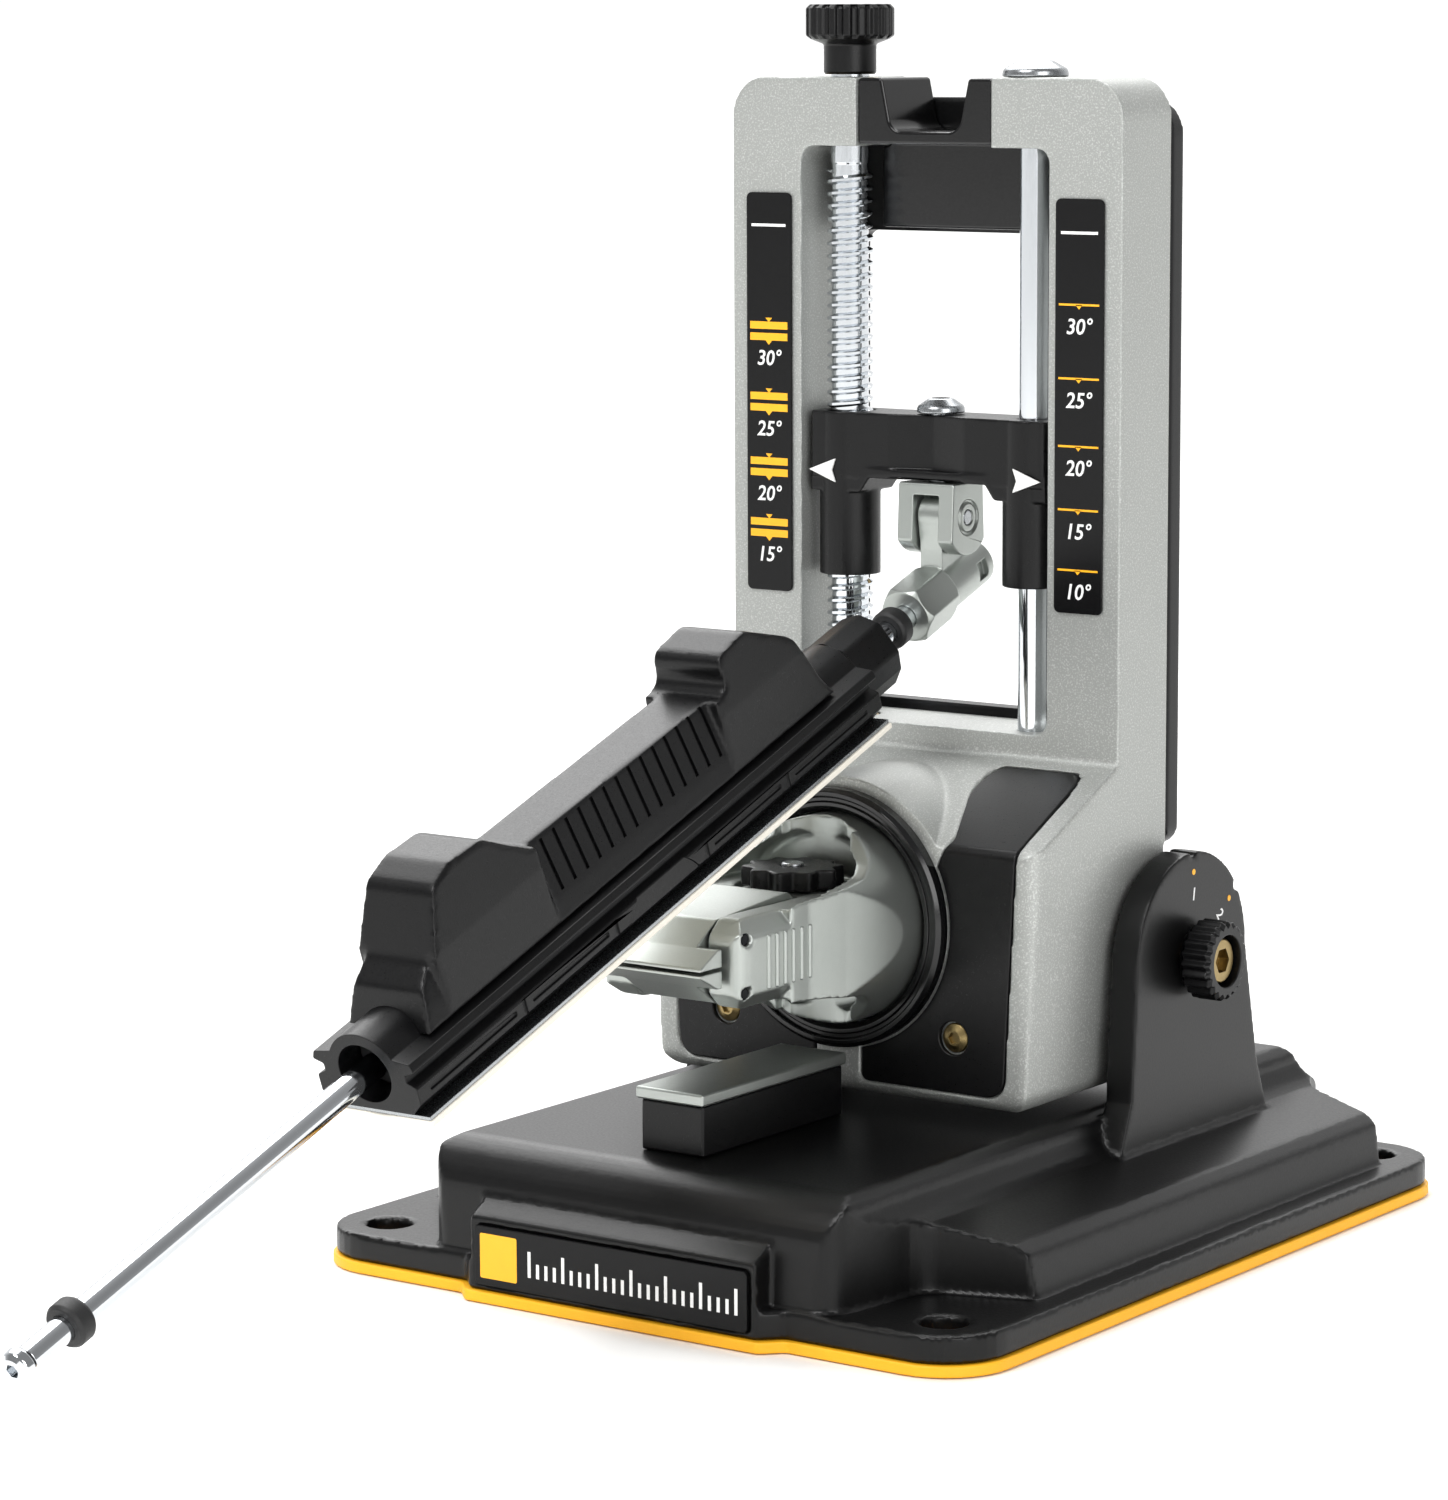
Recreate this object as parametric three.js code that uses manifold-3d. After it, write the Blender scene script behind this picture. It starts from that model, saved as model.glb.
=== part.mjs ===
// Guided-rod knife sharpener: a bench base, a tilting tower with a screw-driven
// crosshead, a swivelling guide rod with its stone holder, and a rotating clamp.
// Units are millimetres, +Z is up, -Y is the front, the origin is the centre of
// the base on its flat underside.

import * as THREE from 'three';
import { mergeVertices } from 'three/addons/utils/BufferGeometryUtils.js';
import Module from 'manifold-3d';

const wasm = await Module();
wasm.setup();

// ---------------------------------------------------------------- driving sizes

const STACK_GAP = 0.05; // between faces that lie flat on each other
const RUN_GAP = 0.3; // between pieces that move past each other

const BASE = {
  halfWidth: 77.5, halfLength: 93, cornerRadius: 14,
  bumpHalfWidth: 34.2, bumpReach: 3.8,
  padTop: 2.2, flangeTop: 7.7, deckTop: 29, wall: 5,
  holeX: 65.1, holeY: 81.4, holeRadius: 4.6,
};
const EAR = { inner: 47.3, outer: 53.5, radius: 21.2, boreRadius: 4.6 };
const PIVOT = { y: 26.4, z: 56.6, boltRadius: 3, lean: 55 };
const KNOB = { radius: 8, inner: 54.1, outer: 61.5, coreRadius: 5.2 };
const TABLE = { halfWidth: 7.9, front: -77, back: -29, top: 41.5, plate: 2.4 };

const TOWER = {
  halfWidth: 46.2, front: 9.4, back: 28, top: 230.3, bottom: 31.2,
  windowHalf: 29.4, windowLow: 101, windowHigh: 216.5,
  notchHalf: 16, coverBack: 32.6, cornerRadius: 8,
};
const HOUSING = { front: -20.5, shoulder: 82.5, slopeTop: 96.5, hoodRadius: 28 };
const SLIDE = { x: 22, y: 16.3, screwRadius: 4.7, rodRadius: 3, sleeveRadius: 6.2 };
const TRIM_SCREW = { x: 27.2, z: 45, radius: 1.6 };
const COVER_SCREW = { x: 38, z: 150, radius: 1.6 };
const HEAD = { half: 28, pointerZ: 151.3, low: 150, high: 163.2, front: 10.4, back: 23, sleeveLow: 129.8 };
const SCALE = { inner: 31.4, outer: 42.4, low: 126, high: 207, thickness: 0.6 };

const DRUM = { z: 66.5, radius: 20.8, ringRadius: 25.9, journal: 14, back: 11.8 };
const ARM = { half: 16.5, inner: 8.8, front: -76.5, height: 8.5 };
const JAW = { pinY: -74, pinZ: 5.1, half: 8.4, tipHalf: 13.4, tip: -85 };
const WHEEL = { y: -36, low: 8.5, high: 12.4, radius: 10, screwRadius: 2.2 };

const HINGE = { y: 16.3, z: 142.7 };
const ROD = { tilt: 20.36, drop: 13.6, radius: 2.4, end: 291 };
const HOLDER = {
  start: 33.5, rail: 47, end: 199.5, halfWidth: 11.2, crest: 7.9,
  bottom: 7.2, boreRadius: 5.7, plateHalf: 12.6, plateEnd: 9.2,
};

const degrees = THREE.MathUtils.degToRad;

// ---------------------------------------------------------------- finishes

const FINISHES = {
  amberRubber: { color: 0xffb70f, roughness: 0.7, metalness: 0 },
  blackCasting: { color: 0x121212, roughness: 0.42, metalness: 0 },
  blackPlastic: { color: 0x161617, roughness: 0.38, metalness: 0 },
  blackRubber: { color: 0x0f0f10, roughness: 0.75, metalness: 0 },
  silverPaint: { color: 0xb9bbb8, roughness: 0.45, metalness: 0.6 },
  dieCast: { color: 0xa9aeaa, roughness: 0.4, metalness: 0.85 },
  chrome: { color: 0xd4d8dc, roughness: 0.12, metalness: 1 },
  steel: { color: 0x9a9da0, roughness: 0.35, metalness: 1 },
  brass: { color: 0xb08d4a, roughness: 0.35, metalness: 1 },
  ceramic: { color: 0xede8dc, roughness: 0.7, metalness: 0 },
  whitePlastic: { color: 0xf0f0ee, roughness: 0.5, metalness: 0 },
  label: { color: 0x0d0d0d, roughness: 0.3, metalness: 0 },
};

// ---------------------------------------------------------------- solid helpers

// A closed three.js geometry as a solid with merged corners and outward faces.
function solid(geometry) {
  const bare = geometry.clone();
  bare.deleteAttribute('normal');
  bare.deleteAttribute('uv');
  const merged = mergeVertices(bare, 1e-4);
  const points = merged.attributes.position;
  const index = merged.index.array;
  const triangles = [];
  let volume = 0;
  for (let i = 0; i < index.length; i += 3) {
    const [a, b, c] = [index[i], index[i + 1], index[i + 2]];
    if (a === b || b === c || a === c) continue;
    triangles.push([a, b, c]);
    const corners = [a, b, c].map((k) => new THREE.Vector3().fromBufferAttribute(points, k));
    volume += corners[0].dot(corners[1].clone().cross(corners[2]));
  }
  const faces = volume < 0 ? triangles.map(([a, b, c]) => [a, c, b]) : triangles;
  return new wasm.Manifold(new wasm.Mesh({
    numProp: 3,
    vertProperties: new Float32Array(points.array),
    triVerts: new Uint32Array(faces.flat()),
  }));
}

function union(parts) {
  return parts.reduce((whole, part) => whole.add(part));
}

function cut(body, tools) {
  return tools.reduce((whole, tool) => whole.subtract(tool), body);
}

function box(x0, x1, y0, y1, z0, z1) {
  const geometry = new THREE.BoxGeometry(x1 - x0, y1 - y0, z1 - z0);
  geometry.translate((x0 + x1) / 2, (y0 + y1) / 2, (z0 + z1) / 2);
  return solid(geometry);
}

// Corners are [a, b, radius]; a corner with a radius becomes an arc.
function filleted(corners, steps = 4) {
  const path = [];
  corners.forEach(([x, y, radius = 0], i) => {
    const here = new THREE.Vector2(x, y);
    if (radius === 0) {
      path.push(here);
      return;
    }
    const before = new THREE.Vector2(...corners.at(i - 1).slice(0, 2)).sub(here).normalize();
    const next = corners[(i + 1) % corners.length];
    const after = new THREE.Vector2(...next.slice(0, 2)).sub(here).normalize();
    const half = Math.acos(THREE.MathUtils.clamp(before.dot(after), -1, 1)) / 2;
    const middle = before.clone().add(after).normalize();
    const centre = here.clone().addScaledVector(middle, radius / Math.sin(half));
    const first = before.multiplyScalar(radius / Math.tan(half)).add(here).sub(centre);
    const last = after.multiplyScalar(radius / Math.tan(half)).add(here).sub(centre);
    const turn = Math.atan2(first.cross(last), first.dot(last));
    for (let step = 0; step <= steps; step += 1) {
      const spoke = first.clone().rotateAround(new THREE.Vector2(), (turn * step) / steps);
      path.push(spoke.add(centre));
    }
  });
  return path;
}

const PRISM_AXES = {
  x: [[0, 1, 0], [0, 0, 1], [1, 0, 0]],
  y: [[-1, 0, 0], [0, 0, 1], [0, 1, 0]],
  z: [[1, 0, 0], [0, 1, 0], [0, 0, 1]],
};

// An outline extruded along an axis from low to high. Outlines along x are
// (y, z) pairs, along y are (-x, z) pairs, and along z are (x, y) pairs.
function prism(axis, corners, low, high, holes = [], steps = 4) {
  const shape = new THREE.Shape(filleted(corners, steps));
  shape.holes = holes.map((hole) => new THREE.Path(filleted(hole, steps)));
  const geometry = new THREE.ExtrudeGeometry(shape, { depth: high - low, bevelEnabled: false });
  geometry.translate(0, 0, low);
  const [a, b, c] = PRISM_AXES[axis].map((v) => new THREE.Vector3(...v));
  geometry.applyMatrix4(new THREE.Matrix4().makeBasis(a, b, c));
  return solid(geometry);
}

const AXES = {
  x: new THREE.Vector3(1, 0, 0),
  y: new THREE.Vector3(0, 1, 0),
  z: new THREE.Vector3(0, 0, 1),
};

// A (radius, height) profile turned about an axis through the origin point.
function turned(axis, profile, origin = [0, 0, 0], segments = 16) {
  const points = profile.map(([r, h]) => new THREE.Vector2(r, h));
  const geometry = new THREE.LatheGeometry(points, segments);
  const quaternion = new THREE.Quaternion().setFromUnitVectors(AXES.y, AXES[axis]);
  geometry.applyQuaternion(quaternion);
  geometry.translate(...origin);
  return solid(geometry);
}

function cylinder(axis, radius, low, high, origin = [0, 0, 0], segments = 16) {
  return turned(axis, [[0, low], [radius, low], [radius, high], [0, high]], origin, segments);
}

function tube(axis, inner, outer, low, high, origin = [0, 0, 0], segments = 16) {
  const profile = [[inner, low], [outer, low], [outer, high], [inner, high], [inner, low]];
  return turned(axis, profile, origin, segments);
}

// A button-head screw with its head on top and a hexagon socket in it.
function buttonScrew(axis, shank, length, head, height, origin, sense = 1) {
  const profile = [
    [0, -length], [shank, -length], [shank, 0], [head, 0], [head, height * 0.3],
    [head * 0.8, height * 0.8], [head * 0.45, height], [0, height],
  ].map(([r, h]) => [r, h * sense]);
  const socket = cylinder(axis, head * 0.42, height * 0.35 * sense, height * 1.2 * sense, origin, 6);
  return turned(axis, profile, origin).subtract(socket);
}

function addPiece(parent, name, body, finish) {
  const { vertProperties, triVerts } = body.getMesh();
  const geometry = new THREE.BufferGeometry();
  geometry.setAttribute('position', new THREE.BufferAttribute(new Float32Array(vertProperties), 3));
  geometry.setIndex(new THREE.BufferAttribute(new Uint32Array(triVerts), 1));
  geometry.computeVertexNormals();
  const mesh = new THREE.Mesh(geometry, new THREE.MeshStandardMaterial(FINISHES[finish]));
  mesh.name = name;
  parent.add(mesh);
  return mesh;
}

function mirrored(corners) {
  return corners.map(([a, b, r]) => [-a, b, r]).reverse();
}

// ---------------------------------------------------------------- base

function baseOutline(inset) {
  const w = BASE.halfWidth - inset;
  const l = BASE.halfLength - inset;
  const b = BASE.bumpHalfWidth - inset;
  const front = -l - BASE.bumpReach;
  const r = BASE.cornerRadius - inset;
  return [
    [-w, -l, r], [-b - 3.8, -l, 2], [-b, front, 2], [b, front, 2], [b + 3.8, -l, 2],
    [w, -l, r], [w, l, r], [-w, l, r],
  ];
}

function mountingHoles(low, high) {
  const holes = [];
  for (const x of [-BASE.holeX, BASE.holeX]) {
    for (const y of [-BASE.holeY, BASE.holeY]) {
      holes.push(cylinder('z', BASE.holeRadius, low, high, [x, y, 0], 20));
    }
  }
  return holes;
}

function basePad() {
  return cut(prism('z', baseOutline(0), 0, BASE.padTop), mountingHoles(-1, 4));
}

// The raised deck: a cross-section along y, a plan outline and a side outline.
function deckBlock() {
  const top = BASE.deckTop;
  const side = [
    [44.9, top, 1.5], [47.6, 27.2], [48, 24.6], [49.3, 22.3], [51.6, 20.9],
    [54.4, 20.3], [66.5, 17.8, 1], [69.4, 16, 1], [71.4, 5],
  ];
  const section = prism('y', [...mirrored(side), ...side], -92, 92);
  const rightPlan = [
    [47, -91.4, 5], [50.5, -66, 8], [72, -59, 4], [71.8, 74, 4], [50.5, 79, 7], [47, 91, 5],
  ];
  const plan = prism('z', [...rightPlan, ...mirrored(rightPlan)], 4, 40);
  const profile = prism('x', [
    [-91.4, 5], [-90.6, top, 9.5], [77.5, top, 3], [82, 22.5, 3], [88, 20, 3], [91, 5],
  ], -80, 80, [], 6);
  return section.intersect(plan).intersect(profile);
}

function ear(sense) {
  const { y, z } = PIVOT;
  const shape = new THREE.Shape();
  shape.moveTo(-2.5, 16);
  shape.lineTo(3.4, 31);
  shape.lineTo(y - EAR.radius, z);
  shape.absarc(y, z, EAR.radius, Math.PI, 0, true);
  shape.lineTo(50.2, 44);
  shape.lineTo(53, 31);
  shape.lineTo(59, 16);
  const width = EAR.outer - EAR.inner;
  const geometry = new THREE.ExtrudeGeometry(shape, {
    depth: width, bevelEnabled: false, curveSegments: 20,
  });
  const basis = PRISM_AXES.x.map((v) => new THREE.Vector3(...v));
  geometry.applyMatrix4(new THREE.Matrix4().makeBasis(...basis));
  geometry.translate(sense > 0 ? EAR.inner : -EAR.outer, 0, 0);
  const notches = [0, PIVOT.lean].map((angle) => cylinder('x', 1.1, -60, 60, [
    0, y + EAR.radius * Math.sin(degrees(angle)), z + EAR.radius * Math.cos(degrees(angle)),
  ], 10));
  return cut(solid(geometry), notches);
}

function baseCasting() {
  const flange = prism('z', baseOutline(0.7), BASE.padTop + STACK_GAP, BASE.flangeTop);
  const bump = prism('x', [
    [-96.1, BASE.padTop + STACK_GAP], [-96.1, 16.4, 1.5], [-90, 20], [-84, 20],
    [-84, BASE.padTop + STACK_GAP],
  ], -33.4, 33.4);
  const badgePocket = box(-32, 32, -97, -95, 3.3, 15.3);
  const bore = cylinder('x', EAR.boreRadius, -60, 60, [0, PIVOT.y, PIVOT.z]);
  const coreHalf = 44.9 - BASE.wall;
  const core = box(-coreHalf, coreHalf, -82, 72, 0, BASE.deckTop - BASE.wall);
  const whole = union([flange, deckBlock(), bump, ear(1), ear(-1)]);
  return cut(whole, [badgePocket, bore, core, ...mountingHoles(0, 30)]);
}

function buildBase(root) {
  addPiece(root, 'base_pad', basePad(), 'amberRubber');
  addPiece(root, 'base_casting', baseCasting(), 'blackCasting');
  const badge = prism('y', [
    [-31.8, 3.5, 1], [31.8, 3.5, 1], [31.8, 15.1, 1], [-31.8, 15.1, 1],
  ], -96.5, -95.05);
  addPiece(root, 'badge_plate', badge, 'label');
  const { halfWidth, front, back, top, plate } = TABLE;
  const block = box(-halfWidth + 0.6, halfWidth - 0.6, front + 1, back - 0.5,
    BASE.deckTop + STACK_GAP, top - plate - STACK_GAP);
  addPiece(root, 'table_block', block, 'blackPlastic');
  const rest = box(-halfWidth, halfWidth, front, back, top - plate, top);
  addPiece(root, 'table_rest', rest, 'dieCast');
  const pivot = [0, PIVOT.y, PIVOT.z];
  for (const [side, sense] of [['right', 1], ['left', -1]]) {
    const bush = tube('x', PIVOT.boltRadius + 0.1, EAR.boreRadius - 0.1,
      Math.min(sense * EAR.inner, sense * EAR.outer),
      Math.max(sense * EAR.inner, sense * EAR.outer), pivot);
    addPiece(root, `ear_bush_${side}`, bush, 'brass');
  }
  const rightBolt = turned('x', [
    [0, 39], [PIVOT.boltRadius, 39], [PIVOT.boltRadius, 57.3], [4.5, 57.3], [4.5, 60.3], [0, 60.3],
  ], pivot).subtract(cylinder('x', 2.6, 58.2, 62, pivot, 6));
  addPiece(root, 'pivot_bolt_right', rightBolt, 'brass');
  const leftBolt = buttonScrew('x', PIVOT.boltRadius, 14.8, 6.6, 3.4,
    [-EAR.outer - 0.3, PIVOT.y, PIVOT.z], -1);
  addPiece(root, 'pivot_bolt_left', leftBolt, 'steel');
  const knob = turned('x', [
    [PIVOT.boltRadius + RUN_GAP, KNOB.inner], [6.4, KNOB.inner], [7.2, KNOB.inner + 1],
    [KNOB.radius, KNOB.inner + 1.4], [KNOB.radius, KNOB.outer - 0.7],
    [KNOB.radius - 0.7, KNOB.outer], [KNOB.coreRadius, KNOB.outer],
    [KNOB.coreRadius, 57], [PIVOT.boltRadius + RUN_GAP, 57],
    [PIVOT.boltRadius + RUN_GAP, KNOB.inner],
  ], pivot, 24);
  addPiece(root, 'lock_knob', knob, 'blackPlastic');
}

// ---------------------------------------------------------------- tower

function housingBlock() {
  const { front, shoulder, slopeTop } = HOUSING;
  const profile = prism('x', [
    [TOWER.front, TOWER.windowLow], [TOWER.front, slopeTop, 1.5], [front, shoulder, 3],
    [front, TOWER.bottom, 4], [TOWER.back, TOWER.bottom, 5], [TOWER.back, TOWER.windowLow],
  ], -TOWER.halfWidth, TOWER.halfWidth);
  const w = TOWER.halfWidth;
  const face = prism('y', [
    [-w, TOWER.windowLow], [-w, shoulder], [-w + 2.6, TOWER.bottom, 5],
    [w - 2.6, TOWER.bottom, 5], [w, shoulder], [w, TOWER.windowLow],
  ], -40, 40);
  const plan = prism('z', [
    [-w, front, 4], [w, front, 4], [w, TOWER.back], [-w, TOWER.back],
  ], 0, 120);
  return profile.intersect(face).intersect(plan);
}

function frameWindow(margin, low, high) {
  const half = TOWER.windowHalf + margin;
  return [[-half, low, 3], [half, low, 3], [half, high, 3], [-half, high, 3]];
}

// The outline runs in under the drum ring, which then bounds the trim.
function trimOutline(margin) {
  return [
    [5.6 - margin, 34.2 - margin, 1.5], [38.6 + margin, 34.2 - margin, 4],
    [41.2 + margin, HOUSING.shoulder, 2], [40.6 + margin, 94.6 + margin, 3],
    [16.2 - margin, 94.6 + margin, 3], [25.6 - margin, HOUSING.shoulder + 1.2, 1],
    [18, 66], [5.6 - margin, 50],
  ];
}

// The shallow bent band that the dark trims fill: two offsets of the front.
function trimBand(near, far) {
  const { front, shoulder, slopeTop } = HOUSING;
  const back = (d) => [
    [front + d, 20], [front + d, shoulder - 0.2 * d, 2], [TOWER.front + d, slopeTop - 0.9 * d],
  ];
  return prism('x', [...back(near), ...back(far).reverse()], -60, 60);
}

function trim(sense) {
  const outline = sense > 0 ? trimOutline(0).map(([a, b, r]) => [-a, b, r]) : trimOutline(0);
  const ringHole = cylinder('y', DRUM.ringRadius + 0.4, -40, 40, [0, 0, DRUM.z], 44);
  const screwHole = cylinder('y', 3.3, -40, 40, [sense * TRIM_SCREW.x, 0, TRIM_SCREW.z]);
  const body = prism('y', outline, -40, 20).intersect(trimBand(0, 1.2));
  return cut(body, [ringHole, screwHole]);
}

function towerFrame() {
  const w = TOWER.halfWidth;
  const legs = prism('y', [
    [-w, 90], [w, 90], [w, TOWER.top, TOWER.cornerRadius], [-w, TOWER.top, TOWER.cornerRadius],
  ], TOWER.front, TOWER.back, [], 6);
  const hood = cylinder('y', HOUSING.hoodRadius, HOUSING.front + 0.4, TOWER.front + 4,
    [0, 0, DRUM.z], 44);
  const whole = union([legs, housingBlock(), hood]);
  const drumAxis = [0, 0, DRUM.z];
  const opening = prism('y', frameWindow(0, TOWER.windowLow, TOWER.windowHigh), 0, 40);
  const notch = box(-TOWER.notchHalf, TOWER.notchHalf, 0, 40, 210, 240);
  const tools = [
    opening,
    notch,
    cylinder('y', DRUM.radius + RUN_GAP, -40, -4, drumAxis, 44),
    cylinder('y', DRUM.journal + 1.4, -10, 40, drumAxis, 24),
    cylinder('y', 18, 11.9, 40, drumAxis, 24),
    cylinder('z', 5.95, 90, 104, [-SLIDE.x, SLIDE.y, 0]),
    cylinder('z', 5.95, 210, 240, [-SLIDE.x, SLIDE.y, 0]),
    cylinder('z', SLIDE.rodRadius + STACK_GAP, 94, 240, [SLIDE.x, SLIDE.y, 0]),
  ];
  for (const sense of [1, -1]) {
    const outline = trimOutline(0.15);
    const plan = sense > 0 ? outline.map(([a, b, r]) => [-a, b, r]) : outline;
    const seat = cylinder('y', DRUM.ringRadius - 1, -40, 40, drumAxis, 44);
    const pocket = prism('y', plan, -40, 20).intersect(trimBand(-4, 1.3));
    tools.push(pocket.subtract(seat));
    tools.push(cylinder('x', PIVOT.boltRadius + RUN_GAP, Math.min(sense * 37, sense * 50),
      Math.max(sense * 37, sense * 50), [0, PIVOT.y, PIVOT.z]));
    tools.push(cylinder('y', TRIM_SCREW.radius + 0.1, -30, -12,
      [sense * TRIM_SCREW.x, 0, TRIM_SCREW.z]));
    tools.push(cylinder('y', COVER_SCREW.radius + 0.1, 18, 40,
      [sense * COVER_SCREW.x, 0, COVER_SCREW.z]));
  }
  return cut(whole, tools);
}

function backCover() {
  const w = TOWER.halfWidth;
  const shell = prism('y', [
    [-w, 78, 4], [w, 78, 4], [w, 226, 7], [-w, 226, 7],
  ], TOWER.back + STACK_GAP, TOWER.coverBack, [frameWindow(-1.5, 103, 199)]);
  const tools = [cylinder('y', 19, 0, 40, [0, 0, DRUM.z], 24)];
  for (const sense of [1, -1]) {
    const at = [sense * COVER_SCREW.x, 0, COVER_SCREW.z];
    tools.push(cylinder('y', COVER_SCREW.radius + 0.1, 20, 40, at));
    tools.push(cylinder('y', 3.1, TOWER.coverBack - 1.8, 40, at));
  }
  return cut(shell, tools);
}

function rodCradle() {
  const half = TOWER.notchHalf - 0.1;
  const saddle = box(-half, half, TOWER.front + 0.6, TOWER.back - STACK_GAP, 217, TOWER.top - 0.3);
  const slab = box(-17.8, 17.8, 21.5, TOWER.back - STACK_GAP, 200, 217.5);
  const neck = slab.intersect(box(-half, half, 20, 40, 190, 240));
  const lower = slab.intersect(box(-20, 20, 20, 40, 190, TOWER.windowHigh - 0.1));
  const groove = prism('y', [
    [-8, 219.5, 3], [8, 219.5, 3], [11.5, 236], [-11.5, 236],
  ], 0, 40);
  return union([saddle, neck, lower]).subtract(groove);
}

function buildTower(root) {
  const tower = new THREE.Group();
  tower.position.set(0, PIVOT.y, PIVOT.z);
  root.add(tower);
  const frame = new THREE.Group();
  frame.position.set(0, -PIVOT.y, -PIVOT.z);
  tower.add(frame);

  addPiece(frame, 'tower_frame', towerFrame(), 'silverPaint');
  addPiece(frame, 'back_cover', backCover(), 'blackPlastic');
  addPiece(frame, 'rod_cradle', rodCradle(), 'blackPlastic');
  for (const [side, sense] of [['right', 1], ['left', -1]]) {
    addPiece(frame, `trim_${side}`, trim(sense), 'blackPlastic');
    const trimScrew = buttonScrew('y', TRIM_SCREW.radius, 6, 3, 1.1,
      [sense * TRIM_SCREW.x, HOUSING.front + 1.25, TRIM_SCREW.z], -1);
    addPiece(frame, `trim_screw_${side}`, trimScrew, 'brass');
    const [inner, outer] = [sense * -SCALE.inner, sense * -SCALE.outer];
    const plate = prism('y', [
      [Math.min(inner, outer), SCALE.low, 1.2], [Math.max(inner, outer), SCALE.low, 1.2],
      [Math.max(inner, outer), SCALE.high, 1.2], [Math.min(inner, outer), SCALE.high, 1.2],
    ], TOWER.front - SCALE.thickness, TOWER.front - STACK_GAP);
    addPiece(frame, `scale_${side}`, plate, 'label');
    const backScrew = buttonScrew('y', COVER_SCREW.radius, 8, 2.9, 1.6,
      [sense * COVER_SCREW.x, TOWER.coverBack - 1.75, COVER_SCREW.z], 1);
    addPiece(frame, `back_screw_${side}`, backScrew, 'steel');
  }
  const guide = cylinder('z', SLIDE.rodRadius, 94.2, TOWER.top - 4.2, [SLIDE.x, SLIDE.y, 0]);
  addPiece(frame, 'guide_rod', guide, 'chrome');
  const guideScrew = buttonScrew('z', 2.6, 4, 6.6, 3.2, [SLIDE.x, SLIDE.y, TOWER.top + STACK_GAP]);
  addPiece(frame, 'guide_rod_screw', guideScrew, 'steel');
  const ring = turned('y', [
    [DRUM.radius + 0.4, HOUSING.front - 1.6], [DRUM.radius + 1.8, HOUSING.front - 3.1],
    [DRUM.ringRadius - 0.8, HOUSING.front - 3.1], [DRUM.ringRadius, HOUSING.front - 2.3],
    [DRUM.ringRadius, HOUSING.front - STACK_GAP], [DRUM.radius + 0.4, HOUSING.front - STACK_GAP],
    [DRUM.radius + 0.4, HOUSING.front - 1.6],
  ], [0, 0, DRUM.z], 44);
  addPiece(frame, 'drum_ring', ring, 'blackPlastic');
  const bush = tube('y', DRUM.journal + 0.15, DRUM.journal + 1.3, -3.6, 11.6, [0, 0, DRUM.z], 24);
  addPiece(frame, 'drum_bush', bush, 'brass');
  const at = [-SLIDE.x, SLIDE.y, 0];
  const top = tube('z', SLIDE.screwRadius + 0.15, 5.85, TOWER.windowHigh + 0.3, TOWER.top - 0.3, at);
  addPiece(frame, 'screw_bush_top', top, 'brass');
  const low = tube('z', SLIDE.screwRadius + 0.15, 5.85, 90.3, TOWER.windowLow - 0.3, at);
  addPiece(frame, 'screw_bush_bottom', low, 'brass');
  return frame;
}

// ---------------------------------------------------------------- height screw and crosshead

function buildHeightScrew(frame) {
  const at = [-SLIDE.x, SLIDE.y, 0];
  const r = SLIDE.screwRadius;
  const screw = turned('z', [
    [0, 90.5], [r - 0.9, 90.5], [r, 91.4], [r, 211.5], [3.9, 212.3], [3.9, 244.2], [0, 244.2],
  ], at);
  addPiece(frame, 'lead_screw', screw, 'chrome');
  const knob = turned('z', [
    [4, TOWER.top + 0.4], [5.3, TOWER.top + 0.4], [5.3, 237.2], [8.3, 238], [8.9, 238.7],
    [8.9, 243.7], [8.3, 244.6], [4, 244.6], [4, TOWER.top + 0.4],
  ], at, 24);
  addPiece(frame, 'height_knob', knob, 'blackPlastic');
}

function crosshead() {
  const { half, low, high, front, back, sleeveLow } = HEAD;
  const beam = prism('z', [
    [-half, front, 1.2], [-9, front + 0.6], [0, front + 3], [9, front + 0.6], [half, front, 1.2],
    [half, back, 1.2], [-half, back, 1.2],
  ], low, high);
  const web = prism('y', [
    [-half, low - 3], [-16, low - 3], [-13.5, low + 0.5], [13.5, low + 0.5], [16, low - 3],
    [half, low - 3], [half, low + 2], [-half, low + 2],
  ], front + 0.4, back - 0.4);
  const sleeves = [-SLIDE.x, SLIDE.x].map((x) => cylinder('z', SLIDE.sleeveRadius, sleeveLow, high,
    [x, SLIDE.y, 0], 28));
  const whole = union([beam, web, ...sleeves]);
  return cut(whole, [
    cylinder('z', SLIDE.screwRadius + RUN_GAP, 120, 170, [-SLIDE.x, SLIDE.y, 0]),
    cylinder('z', SLIDE.rodRadius + RUN_GAP, 120, 170, [SLIDE.x, SLIDE.y, 0]),
    cylinder('z', 5.9, 120, sleeveLow + 9, [-SLIDE.x, SLIDE.y, 0]),
    cylinder('z', 4.8, 120, sleeveLow + 9, [SLIDE.x, SLIDE.y, 0]),
    cylinder('z', 2.7, 140, 170, [0, HINGE.y, 0], 20),
  ]);
}

function pointer(sense) {
  const z = HEAD.pointerZ;
  return prism('y', [
    [-sense * (HEAD.half - 0.4), z], [-sense * 21.8, z - 2.4], [-sense * 21.2, z],
    [-sense * 21.8, z + 2.4],
  ], SLIDE.y - SLIDE.sleeveRadius - 0.6, SLIDE.y - SLIDE.sleeveRadius - STACK_GAP);
}

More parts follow.
